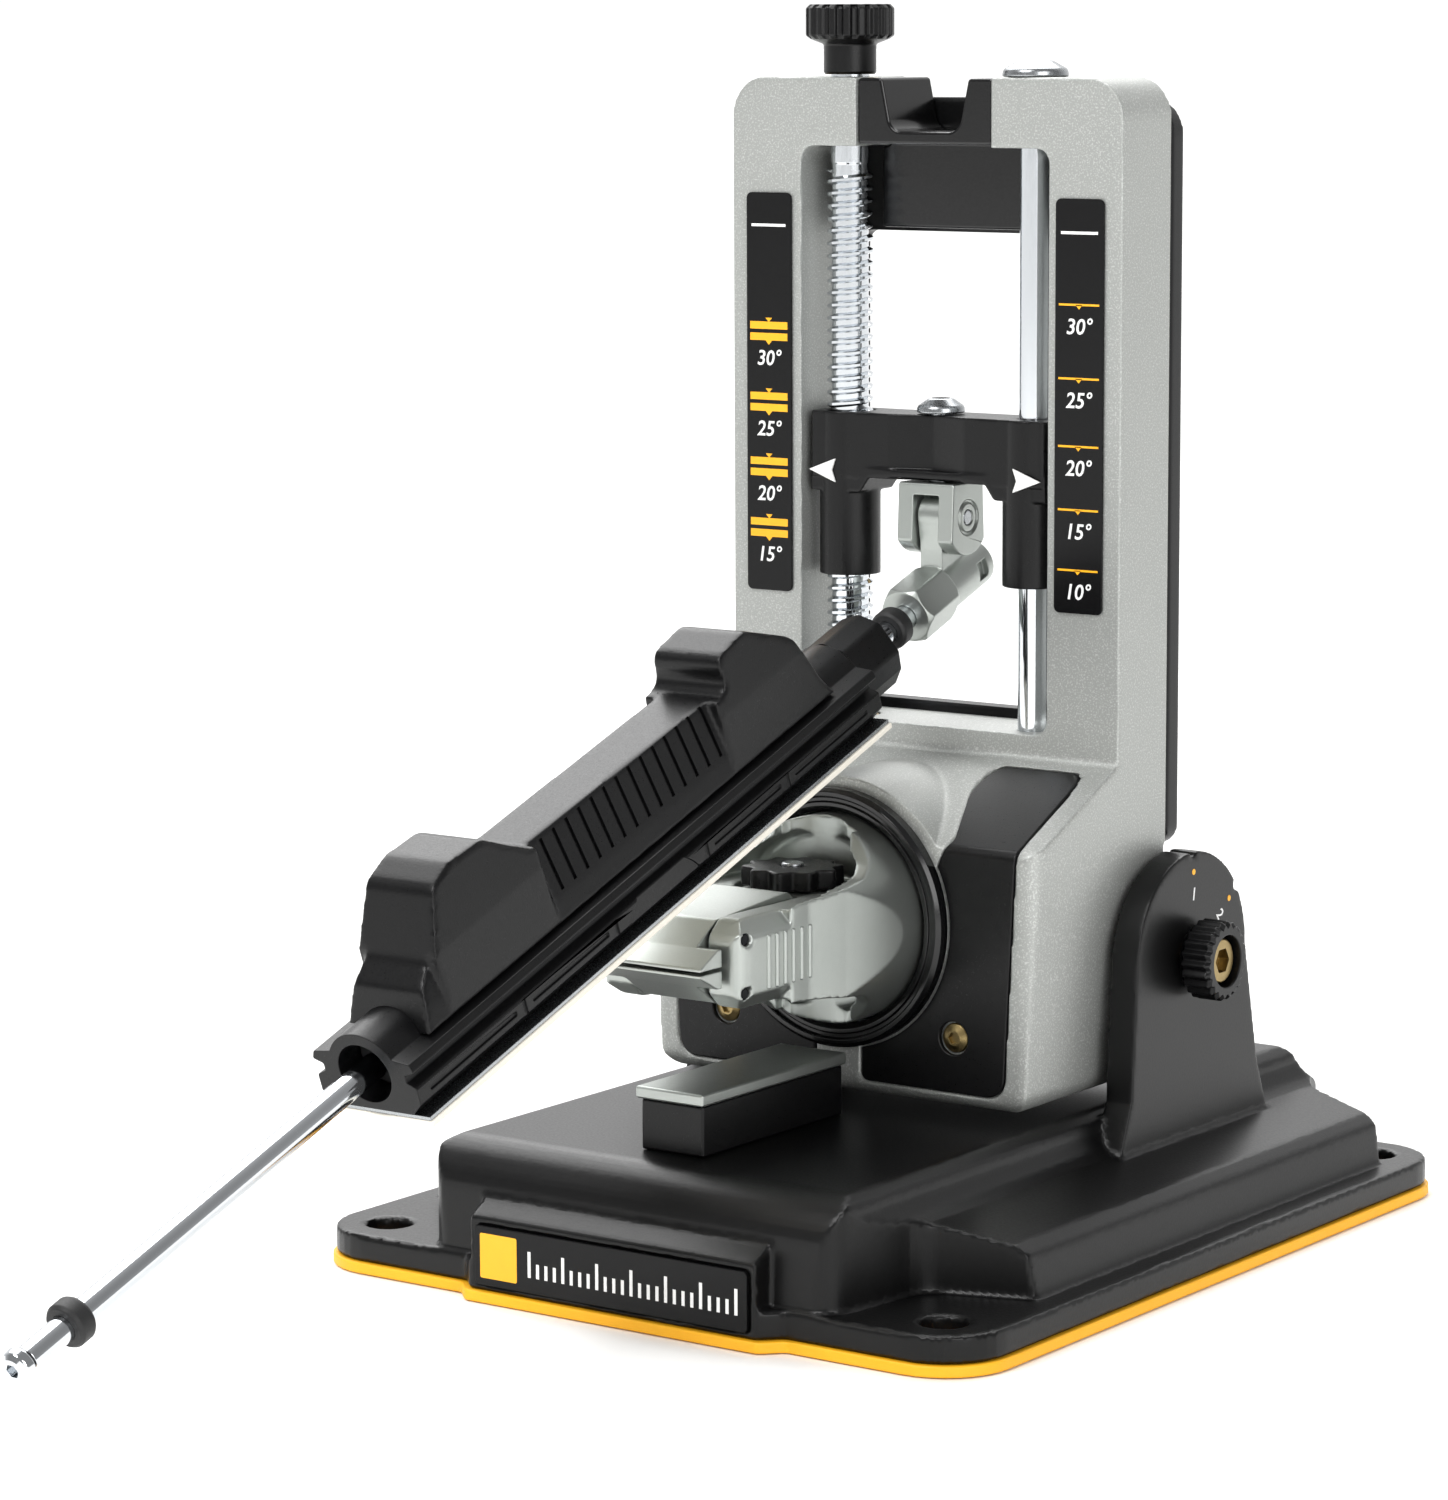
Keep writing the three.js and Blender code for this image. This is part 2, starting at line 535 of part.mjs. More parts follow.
function buildCrosshead(frame) {
  addPiece(frame, 'crosshead', crosshead(), 'blackPlastic');
  const { sleeveLow } = HEAD;
  const nut = tube('z', SLIDE.screwRadius + 0.1, 5.8, sleeveLow + 0.4, sleeveLow + 8.8,
    [-SLIDE.x, SLIDE.y, 0]);
  addPiece(frame, 'lead_nut', nut, 'brass');
  const bush = tube('z', SLIDE.rodRadius + 0.1, 4.7, sleeveLow + 0.4, sleeveLow + 8.8,
    [SLIDE.x, SLIDE.y, 0]);
  addPiece(frame, 'slide_bush', bush, 'brass');
  addPiece(frame, 'pointer_right', pointer(1), 'whitePlastic');
  addPiece(frame, 'pointer_left', pointer(-1), 'whitePlastic');
}

// ---------------------------------------------------------------- swivel, guide rod and holder

function clevis() {
  const half = 4.8;
  const arc = [];
  for (let step = 0; step <= 8; step += 1) {
    const angle = degrees(-142 + (step * 104) / 8);
    arc.push([HINGE.y + 7.6 * Math.cos(angle), HINGE.z + 7.6 * Math.sin(angle)]);
  }
  const side = [
    [HINGE.y - half - 0.6, HEAD.low - 0.3, 0.6], ...arc, [HINGE.y + half + 0.6, HEAD.low - 0.3, 0.6],
  ];
  const block = prism('x', side, -6.6, 6.6);
  const slot = box(-3, 3, 0, 40, 120, 147.2);
  const hole = cylinder('x', 1.6, -10, 10, [0, HINGE.y, HINGE.z], 16);
  const thread = cylinder('z', 2.45, 140, 152, [0, HINGE.y, 0], 20);
  return cut(block, [slot, hole, thread]);
}

function buildClevis(frame) {
  addPiece(frame, 'clevis', clevis(), 'dieCast');
  const screw = buttonScrew('z', 2.4, 15.4, 4.9, 2.9, [0, HINGE.y, HEAD.high + RUN_GAP]);
  addPiece(frame, 'swivel_screw', screw, 'steel');
  const pin = cylinder('x', 1.5, -6.5, 6.5, [0, HINGE.y, HINGE.z], 16);
  addPiece(frame, 'hinge_pin', pin, 'steel');
}

// The rod's own frame: the hinge is the origin and the rod runs towards -Y.
const ROD_AXIS = [0, 0, -ROD.drop];

function knuckle() {
  const drop = ROD.drop;
  const eye = cylinder('x', 4.5, -2.6, 2.6, [0, 0, 0], 28);
  const web = prism('x', [
    [-4.4, 0.6], [4.4, 0.6], [4.9, -5], [6.2, -drop], [-8.5, -drop], [-5.6, -5],
  ], -2.6, 2.6);
  const barrel = turned('y', [
    [0, 8], [4.6, 8], [5.1, 7.4], [5.1, -7.2], [0, -7.2],
  ], ROD_AXIS, 28);
  const hexagon = turned('y', [[0, -7], [6.3, -7], [6.3, -18.6], [0, -18.6]], ROD_AXIS, 6);
  const round = turned('y', [[0, -6], [5.3, -6.4], [6.2, -8], [6.2, -17.6], [5.2, -18.8], [0, -18.8]],
    ROD_AXIS, 28);
  const whole = union([eye, web, barrel, hexagon.intersect(round)]);
  return cut(whole, [
    cylinder('x', 1.65, -10, 10, [0, 0, 0], 16),
    cylinder('y', ROD.radius + STACK_GAP, -30, -3, ROD_AXIS, 20),
  ]);
}

function holderSection(half, low) {
  const arch = [];
  for (let step = 0; step <= 10; step += 1) {
    const angle = degrees(152 - (step * 124) / 10);
    arch.push([HOLDER.crest * Math.cos(angle), HOLDER.crest * Math.sin(angle)]);
  }
  return [
    [-half + 2.4, low, 0.8], [half - 2.4, low, 0.8], [half, low + 2.4], [half, -1.6],
    [half - 2, -0.6], [half - 2, 0.8], [half + 0.2, 1.6], [half - 0.4, 3.2],
    ...arch.reverse(), [-half + 0.4, 3.2], [-half - 0.2, 1.6], [-half + 2, 0.8],
    [-half + 2, -0.6], [-half, -1.6], [-half, low + 2.4],
  ];
}

function alongRod(corners, start, end) {
  return prism('y', corners, -end, -start).translate([0, 0, -ROD.drop]);
}

function holderBody() {
  const rail = alongRod(holderSection(HOLDER.halfWidth, -HOLDER.bottom), HOLDER.rail, HOLDER.end);
  const boss = alongRod([
    [-5.4, -7, 1], [5.4, -7, 1], [7.6, -3.4, 1], [7.9, 0.6, 2], [4.6, 6.4, 2], [0, 7.9, 2],
    [-4.6, 6.4, 2], [-7.9, 0.6, 2], [-7.6, -3.4, 1],
  ], HOLDER.start, HOLDER.rail + 1);
  const seats = [[HOLDER.start, HOLDER.start + 17], [HOLDER.end - 20, HOLDER.end]];
  const tools = [cylinder('y', 3.4, -HOLDER.end - 2, -20, ROD_AXIS)];
  for (const [near, far] of seats) {
    tools.push(cylinder('y', HOLDER.boreRadius, -far - 0.01, -near + 0.01, ROD_AXIS));
  }
  for (const along of [85, 160]) {
    tools.push(cylinder('z', 5.1, -ROD.drop - 9, -ROD.drop - 4.2, [0, -along, 0]));
  }
  return cut(union([rail, boss]), tools);
}

function holderGrip() {
  const n = (value) => -ROD.drop + value;
  const grip = prism('x', [
    [-191.5, n(2)], [-188.5, n(11)], [-184.6, n(14.5), 2], [-179, n(26.5), 2.5], [-173, n(28.5), 3],
    [-163.5, n(28), 3], [-158, n(24), 2], [-152, n(20), 3], [-87, n(19), 3], [-90, n(26), 2],
    [-79, n(27.2), 3], [-66, n(19.6), 4], [-61, n(8.6), 3], [-56.5, n(2)],
  ], -9.4, 9.4);
  const section = alongRod([
    [-9.3, 4], [9.3, 4], [8.6, 8, 1], [5.6, 20.4, 2], [-5.6, 20.4, 2], [-8.6, 8, 1],
  ], 50, 195);
  const guards = [[60, 93], [151, 184]].map(([near, far]) => alongRod([
    [-9.3, 4], [9.3, 4], [8.8, 16, 2], [7, 32, 2], [-7, 32, 2], [-8.8, 16, 2],
  ], near, far));
  const whole = grip.intersect(union([section, ...guards]));
  const saddle = cylinder('y', HOLDER.crest + STACK_GAP, -200, -40, ROD_AXIS, 40);
  return whole.subtract(saddle);
}

function buildGuideRod(frame) {
  const arm = new THREE.Group();
  arm.position.set(0, HINGE.y, HINGE.z);
  arm.rotation.x = degrees(ROD.tilt);
  frame.add(arm);

  addPiece(arm, 'knuckle', knuckle(), 'dieCast');
  const rod = cylinder('y', ROD.radius, -ROD.end, -3.6, ROD_AXIS, 20);
  addPiece(arm, 'guide_arm', rod, 'chrome');
  for (const [name, along] of [['o_ring_upper', 21.7], ['o_ring_lower', 277.4]]) {
    const ring = turned('y', [
      [ROD.radius + STACK_GAP, -along], [3.6, -along], [4.1, -along - 0.7], [4.1, -along - 3.3],
      [3.6, -along - 4], [ROD.radius + STACK_GAP, -along - 4], [ROD.radius + STACK_GAP, -along],
    ], ROD_AXIS, 20);
    addPiece(arm, name, ring, 'blackRubber');
  }
  const endScrew = turned('y', [
    [0, -ROD.end - STACK_GAP], [2.7, -ROD.end - STACK_GAP], [3.2, -ROD.end - 0.9],
    [3, -ROD.end - 2.4], [2, -ROD.end - 3.2], [0, -ROD.end - 3.2],
  ], ROD_AXIS, 20).subtract(cylinder('y', 1.3, -ROD.end - 6, -ROD.end - 1.4, ROD_AXIS, 6));
  addPiece(arm, 'end_screw', endScrew, 'chrome');

  const { start, end, rail } = HOLDER;
  for (const [name, near, far] of [
    ['rod_bush_rear', start + 1, start + 16.5], ['rod_bush_front', end - 19.5, end - 6],
  ]) {
    const bush = tube('y', ROD.radius + 0.12, HOLDER.boreRadius - 0.1, -far, -near, ROD_AXIS);
    addPiece(arm, name, bush, 'blackRubber');
  }
  addPiece(arm, 'holder_body', holderBody(), 'blackPlastic');
  addPiece(arm, 'holder_grip', holderGrip(), 'blackPlastic');
  const face = -ROD.drop - HOLDER.bottom;
  const half = HOLDER.plateHalf;
  const backing = box(-half + 0.4, half - 0.4, -end + 0.3, -rail - 0.3, face - 0.8, face - STACK_GAP);
  addPiece(arm, 'backing_plate', backing, 'steel');
  const stone = box(-half, half, -end, -rail, -ROD.drop - HOLDER.plateEnd, face - 0.85);
  addPiece(arm, 'ceramic_plate', stone, 'ceramic');
  for (const [name, along] of [['magnet_rear', 85], ['magnet_front', 160]]) {
    const magnet = cylinder('z', 5, face + STACK_GAP, face + 2.8, [0, -along, 0]);
    addPiece(arm, name, magnet, 'steel');
  }
}

// ---------------------------------------------------------------- clamp

function clampBody() {
  const at = [0, 0, DRUM.z];
  const z = (value) => DRUM.z + value;
  const upper = [
    [-4.3, z(21)], [-26, z(21)], [-29, z(18.6)], [-32.5, z(13.6)], [-37, z(11.4)],
    [-50, z(9.9)], [-73, z(ARM.height), 2], [ARM.front, z(5.4), 2],
  ];
  const side = prism('x', [...upper, ...upper.map(([y, v, r]) => [y, 2 * DRUM.z - v, r]).reverse()],
    -22, 22);
  const plan = prism('z', [
    [-21, -4.3], [-21, -27], [-18, -44], [-ARM.half, -54], [-ARM.half, ARM.front, 2.5],
    [ARM.half, ARM.front, 2.5], [ARM.half, -54], [18, -44], [21, -27], [21, -4.3],
  ], 30, 110);
  const round = cylinder('y', DRUM.radius, -60, -4.3, at, 44);
  const chamfer = prism('y', [
    [-16.5, z(-5.5)], [-13.5, z(-8.6)], [13.5, z(-8.6)], [16.5, z(-5.5)],
    [16.5, z(5.5)], [13.5, z(8.6)], [-13.5, z(8.6)], [-16.5, z(5.5)],
  ], -80, -56);
  const shell = side.intersect(plan).intersect(union([round, chamfer]));
  const dish = cylinder('y', DRUM.radius - 2.4, -80, -25, at, 40);
  const journal = cylinder('y', DRUM.journal, -5, DRUM.back, at, 24);
  const tools = [
    dish.intersect(box(-30, 30, -90, 0, z(8.6), z(40))),
    dish.intersect(box(-30, 30, -90, 0, z(-40), z(-8.6))),
    box(-ARM.inner, ARM.inner, -90, -27, 20, 120),
    cylinder('y', 3.1, 1, 20, at, 16),
    cylinder('z', WHEEL.radius + 1.2, z(6.6), z(30), [0, WHEEL.y, 0], 32),
    cylinder('z', WHEEL.radius + 1.2, z(-30), z(-6.6), [0, WHEEL.y, 0], 32),
    cylinder('x', 1.25, -30, 30, [0, JAW.pinY, z(JAW.pinZ)], 16),
    cylinder('x', 1.25, -30, 30, [0, JAW.pinY, z(-JAW.pinZ)], 16),
  ];
  return cut(union([shell, journal]), tools);
}

function jaw(sense) {
  const z = (value) => DRUM.z + sense * value;
  const lip = prism('x', [
    [JAW.tip, z(0.35)], [JAW.tip, z(0.9)], [-79.6, z(3.7)], [-78.2, z(3.7)], [-78.2, z(0.35)],
  ], -JAW.tipHalf, JAW.tipHalf);
  const lever = prism('x', [
    [-79.6, z(0.35)], [-79.6, z(3.7)], [-73, z(8), 2], [-49.5, z(10)], [-47.2, z(8)],
    [-30.5, z(8)], [-30.5, z(5.8)], [-60, z(5.2), 3], [-66, z(1.7)], [-73.5, z(0.4)],
  ], -JAW.half, JAW.half);
  const slot = box(-2.8, 2.8, WHEEL.y - 3.6, -28, DRUM.z - 20, DRUM.z + 20);
  const pinHole = cylinder('x', 1.4, -20, 20, [0, JAW.pinY, z(JAW.pinZ)], 16);
  return cut(union([lip, lever]), [slot, pinHole]);
}

function thumbwheel() {
  const lobes = 10;
  const outline = [];
  for (let step = 0; step < lobes * 4; step += 1) {
    const angle = (2 * Math.PI * step) / (lobes * 4);
    const radius = WHEEL.radius - 1 + Math.cos(angle * lobes);
    outline.push([radius * Math.cos(angle), WHEEL.y + radius * Math.sin(angle)]);
  }
  const wheel = prism('z', outline, DRUM.z + WHEEL.low, DRUM.z + WHEEL.high);
  return wheel.subtract(cylinder('z', WHEEL.screwRadius + 0.1, 60, 90, [0, WHEEL.y, 0], 16));
}

function buildClamp(frame) {
  const at = [0, 0, DRUM.z];
  addPiece(frame, 'clamp_body', clampBody(), 'dieCast');
  const washer = tube('y', 3.2, 17, DRUM.back + 0.35, DRUM.back + 2.2, at, 24);
  addPiece(frame, 'drum_washer', washer, 'steel');
  const screw = buttonScrew('y', 3, 11, 6.4, 3.4, [0, DRUM.back + 2.3, DRUM.z], 1);
  addPiece(frame, 'drum_screw', screw, 'steel');
  for (const [name, sense] of [['upper', 1], ['lower', -1]]) {
    const pin = cylinder('x', 1.2, -ARM.half + 0.8, ARM.half - 0.8,
      [0, JAW.pinY, DRUM.z + sense * JAW.pinZ], 16);
    addPiece(frame, `jaw_pin_${name}`, pin, 'steel');
    addPiece(frame, `${name}_jaw`, jaw(sense), 'dieCast');
  }
  addPiece(frame, 'thumbwheel', thumbwheel(), 'blackPlastic');
  const spindle = turned('z', [
    [0, DRUM.z - 12.6], [3.6, DRUM.z - 12.6], [3.6, DRUM.z - 9.4],
    [WHEEL.screwRadius, DRUM.z - 9.4], [WHEEL.screwRadius, DRUM.z + 13], [0, DRUM.z + 13],
  ], [0, WHEEL.y, 0], 16);
  addPiece(frame, 'clamp_screw', spindle, 'steel');
}

// ---------------------------------------------------------------- whole object

const sharpener = new THREE.Group();
buildBase(sharpener);
const towerFrameGroup = buildTower(sharpener);
buildHeightScrew(towerFrameGroup);
buildCrosshead(towerFrameGroup);
buildClevis(towerFrameGroup);
buildGuideRod(towerFrameGroup);
buildClamp(towerFrameGroup);

export default sharpener;
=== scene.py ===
import logging
import math
from dataclasses import dataclass
from enum import Enum
from typing import Callable, Iterable, Sequence

import bmesh
import bpy
from mathutils import Matrix, Quaternion, Vector


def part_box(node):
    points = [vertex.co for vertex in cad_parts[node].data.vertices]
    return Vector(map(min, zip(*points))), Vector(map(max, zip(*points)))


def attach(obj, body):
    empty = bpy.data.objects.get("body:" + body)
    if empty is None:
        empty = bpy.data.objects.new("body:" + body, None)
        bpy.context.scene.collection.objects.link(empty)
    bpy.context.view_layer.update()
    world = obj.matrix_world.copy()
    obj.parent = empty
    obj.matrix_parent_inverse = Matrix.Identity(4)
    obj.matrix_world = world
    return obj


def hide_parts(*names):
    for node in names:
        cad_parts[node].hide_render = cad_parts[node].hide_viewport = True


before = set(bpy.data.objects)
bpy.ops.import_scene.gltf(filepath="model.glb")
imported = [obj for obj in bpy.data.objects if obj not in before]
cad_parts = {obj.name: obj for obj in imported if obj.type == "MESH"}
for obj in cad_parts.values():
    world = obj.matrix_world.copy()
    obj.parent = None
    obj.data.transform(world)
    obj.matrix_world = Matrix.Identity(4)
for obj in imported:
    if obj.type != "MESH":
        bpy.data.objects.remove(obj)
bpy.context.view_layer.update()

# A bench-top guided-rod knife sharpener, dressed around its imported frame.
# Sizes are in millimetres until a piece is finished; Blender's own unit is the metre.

LOG = logging.getLogger("sharpener")
MM = 0.001

Corner = Sequence[float]
Point = tuple[float, float, float]


# ------------------------------------------------------------------ solids

class Axis(Enum):
    """The way an outline is pushed, as (across, up, along) directions."""

    X = ((0, 1, 0), (0, 0, 1), (1, 0, 0))
    Y = ((1, 0, 0), (0, 0, 1), (0, 1, 0))
    Z = ((1, 0, 0), (0, 1, 0), (0, 0, 1))


class Join(Enum):
    """What a boolean step does with its second solid."""

    ADD = "UNION"
    CUT = "DIFFERENCE"
    MEET = "INTERSECT"


class Solid:
    """A closed mesh in millimetres that can be joined, cut and moved."""

    def __init__(self, form: bmesh.types.BMesh) -> None:
        """Takes over a bmesh and frees it.

        Args:
            form: the closed shape, in millimetres.
        """
        bmesh.ops.recalc_face_normals(form, faces=form.faces)
        mesh = bpy.data.meshes.new("solid")
        form.to_mesh(mesh)
        form.free()
        self.obj = bpy.data.objects.new("solid", mesh)
        bpy.context.scene.collection.objects.link(self.obj)

    def apply(self) -> "Solid":
        """Turns the modifiers on the solid into mesh.

        Returns:
            The same solid.
        """
        graph = bpy.context.evaluated_depsgraph_get()
        mesh = bpy.data.meshes.new_from_object(self.obj.evaluated_get(graph))
        self.obj.modifiers.clear()
        old = self.obj.data
        self.obj.data = mesh
        bpy.data.meshes.remove(old)
        return self

    def combine(self, how: Join, others: Iterable["Solid"]) -> "Solid":
        """Joins or cuts with other solids, which are used up.

        Args:
            how: the boolean step.
            others: the solids to join or cut with.

        Returns:
            The same solid.
        """
        others = list(others)
        for other in others:
            step = self.obj.modifiers.new("step", "BOOLEAN")
            step.operation = how.value
            step.object = other.obj
            step.solver = "MANIFOLD"
        self.apply()
        for other in others:
            other.discard()
        return self

    def add(self, *others: "Solid") -> "Solid":
        """Joins other solids on."""
        return self.combine(Join.ADD, others)

    def cut(self, *others: "Solid") -> "Solid":
        """Cuts other solids away."""
        return self.combine(Join.CUT, others)

    def meet(self, *others: "Solid") -> "Solid":
        """Keeps only what lies in the other solids too."""
        return self.combine(Join.MEET, others)

    def move(self, matrix: Matrix) -> "Solid":
        """Moves the mesh by a matrix in millimetres."""
        self.obj.data.transform(matrix)
        if matrix.determinant() < 0:
            self.obj.data.flip_normals()
        return self

    def shift(self, x: float = 0.0, y: float = 0.0, z: float = 0.0) -> "Solid":
        """Moves the mesh along the axes."""
        return self.move(Matrix.Translation((x, y, z)))

    def discard(self) -> None:
        """Removes the solid and its mesh."""
        mesh = self.obj.data
        bpy.data.objects.remove(self.obj)
        bpy.data.meshes.remove(mesh)

    def soften(self, width: float, segments: int = 3, angle: float = 32.0) -> "Solid":
        """Cleans the mesh and rounds its sharp edges.

        Args:
            width: how far the rounding reaches from each edge.
            segments: steps in the rounding.
            angle: edges that turn by less than this stay as they are.

        Returns:
            The same solid.
        """
        form = bmesh.new()
        form.from_mesh(self.obj.data)
        bmesh.ops.remove_doubles(form, verts=form.verts, dist=0.004)
        bmesh.ops.dissolve_limit(form, angle_limit=math.radians(0.6), verts=form.verts, edges=form.edges)
        form.to_mesh(self.obj.data)
        form.free()
        rounding = self.obj.modifiers.new("rounding", "BEVEL")
        rounding.width = width
        rounding.segments = segments
        rounding.limit_method = "ANGLE"
        rounding.angle_limit = math.radians(angle)
        rounding.use_clamp_overlap = False
        rounding.miter_outer = "MITER_ARC"
        return self.apply()

    def melt(self, voxel: float, rounds: int, keep: float = 0.5) -> "Solid":
        """Rounds every edge the way a casting is rounded.

        Args:
            voxel: the grid that the shape is rebuilt on, in millimetres.
            rounds: smoothing passes.
            keep: the share of faces kept afterwards.

        Returns:
            The same solid.
        """
        grid = self.obj.modifiers.new("grid", "REMESH")
        grid.mode = "VOXEL"
        grid.voxel_size = voxel
        even = self.obj.modifiers.new("even", "SMOOTH")
        even.factor = 0.5
        even.iterations = rounds
        thin = self.obj.modifiers.new("thin", "DECIMATE")
        thin.ratio = keep
        return self.apply()


def rounded(corners: Sequence[Corner], steps: int = 8) -> list[tuple[float, float]]:
    """Turns (a, b, radius) corners into an outline with arcs.

    Args:
        corners: corners in order; one without a radius stays sharp.
        steps: steps in each arc.

    Returns:
        The outline's points.
    """
    path: list[tuple[float, float]] = []
    count = len(corners)
    for i, corner in enumerate(corners):
        here = Vector(corner[:2])
        radius = corner[2] if len(corner) > 2 else 0.0
        if radius == 0:
            path.append(tuple(here))
            continue
        before = (Vector(corners[i - 1][:2]) - here).normalized()
        after = (Vector(corners[(i + 1) % count][:2]) - here).normalized()
        half = before.angle(after) / 2
        centre = here + (before + after).normalized() * (radius / math.sin(half))
        first = here + before * (radius / math.tan(half)) - centre
        last = here + after * (radius / math.tan(half)) - centre
        turn = math.atan2(first.x * last.y - first.y * last.x, first.dot(last))
        for step in range(steps + 1):
            spoke = Matrix.Rotation(turn * step / steps, 2) @ first
            path.append(tuple(centre + spoke))
    return path


def prism(axis: Axis, corners: Sequence[Corner], low: float, high: float, steps: int = 8) -> Solid:
    """Pushes an outline along an axis.

    Args:
        axis: the direction; outlines are (y, z), (x, z) or (x, y) pairs.
        corners: (a, b) or (a, b, radius) corners.
        low: where the solid starts along the axis.
        high: where it ends.
        steps: steps in each rounded corner.

    Returns:
        The solid.
    """
    across, up, along = (Vector(v) for v in axis.value)
    outline = rounded(corners, steps)
    form = bmesh.new()
    near = [form.verts.new(across * a + up * b + along * low) for a, b in outline]
    far = [form.verts.new(across * a + up * b + along * high) for a, b in outline]
    form.faces.new(near[::-1])
    form.faces.new(far)
    for i in range(len(outline)):
        j = (i + 1) % len(outline)
        form.faces.new((near[i], near[j], far[j], far[i]))
    return Solid(form)


def box(x0: float, x1: float, y0: float, y1: float, z0: float, z1: float) -> Solid:
    """A block between two corners."""
    return prism(Axis.Z, [(x0, y0), (x1, y0), (x1, y1), (x0, y1)], z0, z1)


def turned(axis: Axis, profile: Sequence[Corner], at: Point = (0, 0, 0), segments: int = 64,
           wave: Callable[[float, float, float], float] | None = None, steps: int = 5) -> Solid:
    """Turns a profile about an axis through a point.

    Args:
        axis: the axis of turning.
        profile: (radius, height) or (radius, height, fillet) corners; it starts
            and ends on the axis, or else it closes on itself.
        at: a point on the axis.
        segments: steps around.
        wave: optional new radius from (radius, height, angle).
        steps: steps in each fillet.

    Returns:
        The solid.
    """
    closed = profile[0][0] > 0
    path = rounded(profile, steps)
    across, up, along = (Vector(v) for v in axis.value)
    form = bmesh.new()
    rings = []
    for radius, height in path:
        if radius < 1e-6:
            rings.append([form.verts.new(along * height + Vector(at))])
            continue
        ring = []
        for k in range(segments):
            angle = 2 * math.pi * k / segments
            reach = wave(radius, height, angle) if wave else radius
            spoke = across * (reach * math.cos(angle)) + up * (reach * math.sin(angle))
            ring.append(form.verts.new(spoke + along * height + Vector(at)))
        rings.append(ring)
    pairs = list(zip(rings, rings[1:]))
    if closed:
        pairs.append((rings[-1], rings[0]))
    for one, two in pairs:
        for k in range(segments):
            j = (k + 1) % segments
            loop = [one[k % len(one)], one[j % len(one)], two[j % len(two)], two[k % len(two)]]
            loop = list(dict.fromkeys(loop))
            if len(loop) > 2:
                form.faces.new(loop)
    bmesh.ops.remove_doubles(form, verts=form.verts, dist=1e-5)
    return Solid(form)


def cylinder(axis: Axis, radius: float, low: float, high: float, at: Point = (0, 0, 0),
             segments: int = 64) -> Solid:
    """A plain round bar, used as a cutter or joined to other solids."""
    return turned(axis, [(0, low), (radius, low), (radius, high), (0, high)], at, segments)


def mirrored(corners: Sequence[Corner]) -> list[Corner]:
    """The corners reflected left to right, in reverse order."""
    return [(-c[0], *c[1:]) for c in reversed(corners)]


def flipped(corners: Sequence[Corner], sense: int) -> list[Corner]:
    """The corners as they are for the right side, or reflected for the left."""
    return list(corners) if sense > 0 else mirrored(corners)


def node_box(node: str) -> tuple[Vector, Vector]:
    """The lowest and highest corners of a frame node at rest, in millimetres."""
    low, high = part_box(node)
    return Vector(low) / MM, Vector(high) / MM


# ------------------------------------------------------------------ finishes

def linear(code: str) -> tuple[float, float, float, float]:
    """Turns an sRGB hex colour into linear light.

    Args:
        code: the colour as "#rrggbb".

    Returns:
        Red, green, blue and an alpha of 1.
    """
    parts = [int(code[i:i + 2], 16) / 255 for i in (1, 3, 5)]
    light = [p / 12.92 if p <= 0.04045 else ((p + 0.055) / 1.055) ** 2.4 for p in parts]
    return (*light, 1.0)


def add_node(tree: bpy.types.NodeTree, kind: str, settings: dict | None = None,
             links: dict | None = None) -> bpy.types.Node:
    """Adds a shader node with its settings and links.

    Args:
        tree: the material's node tree.
        kind: the node's type.
        settings: values by socket name or number, or by the node's own property name.
        links: output sockets by the name or number of the input they feed.

    Returns:
        The node.
    """
    node = tree.nodes.new(kind)
    for key, value in (settings or {}).items():
        if isinstance(key, str) and hasattr(node, key):
            setattr(node, key, value)
        else:
            node.inputs[key].default_value = value
    for key, socket in (links or {}).items():
        tree.links.new(socket, node.inputs[key])
    return node


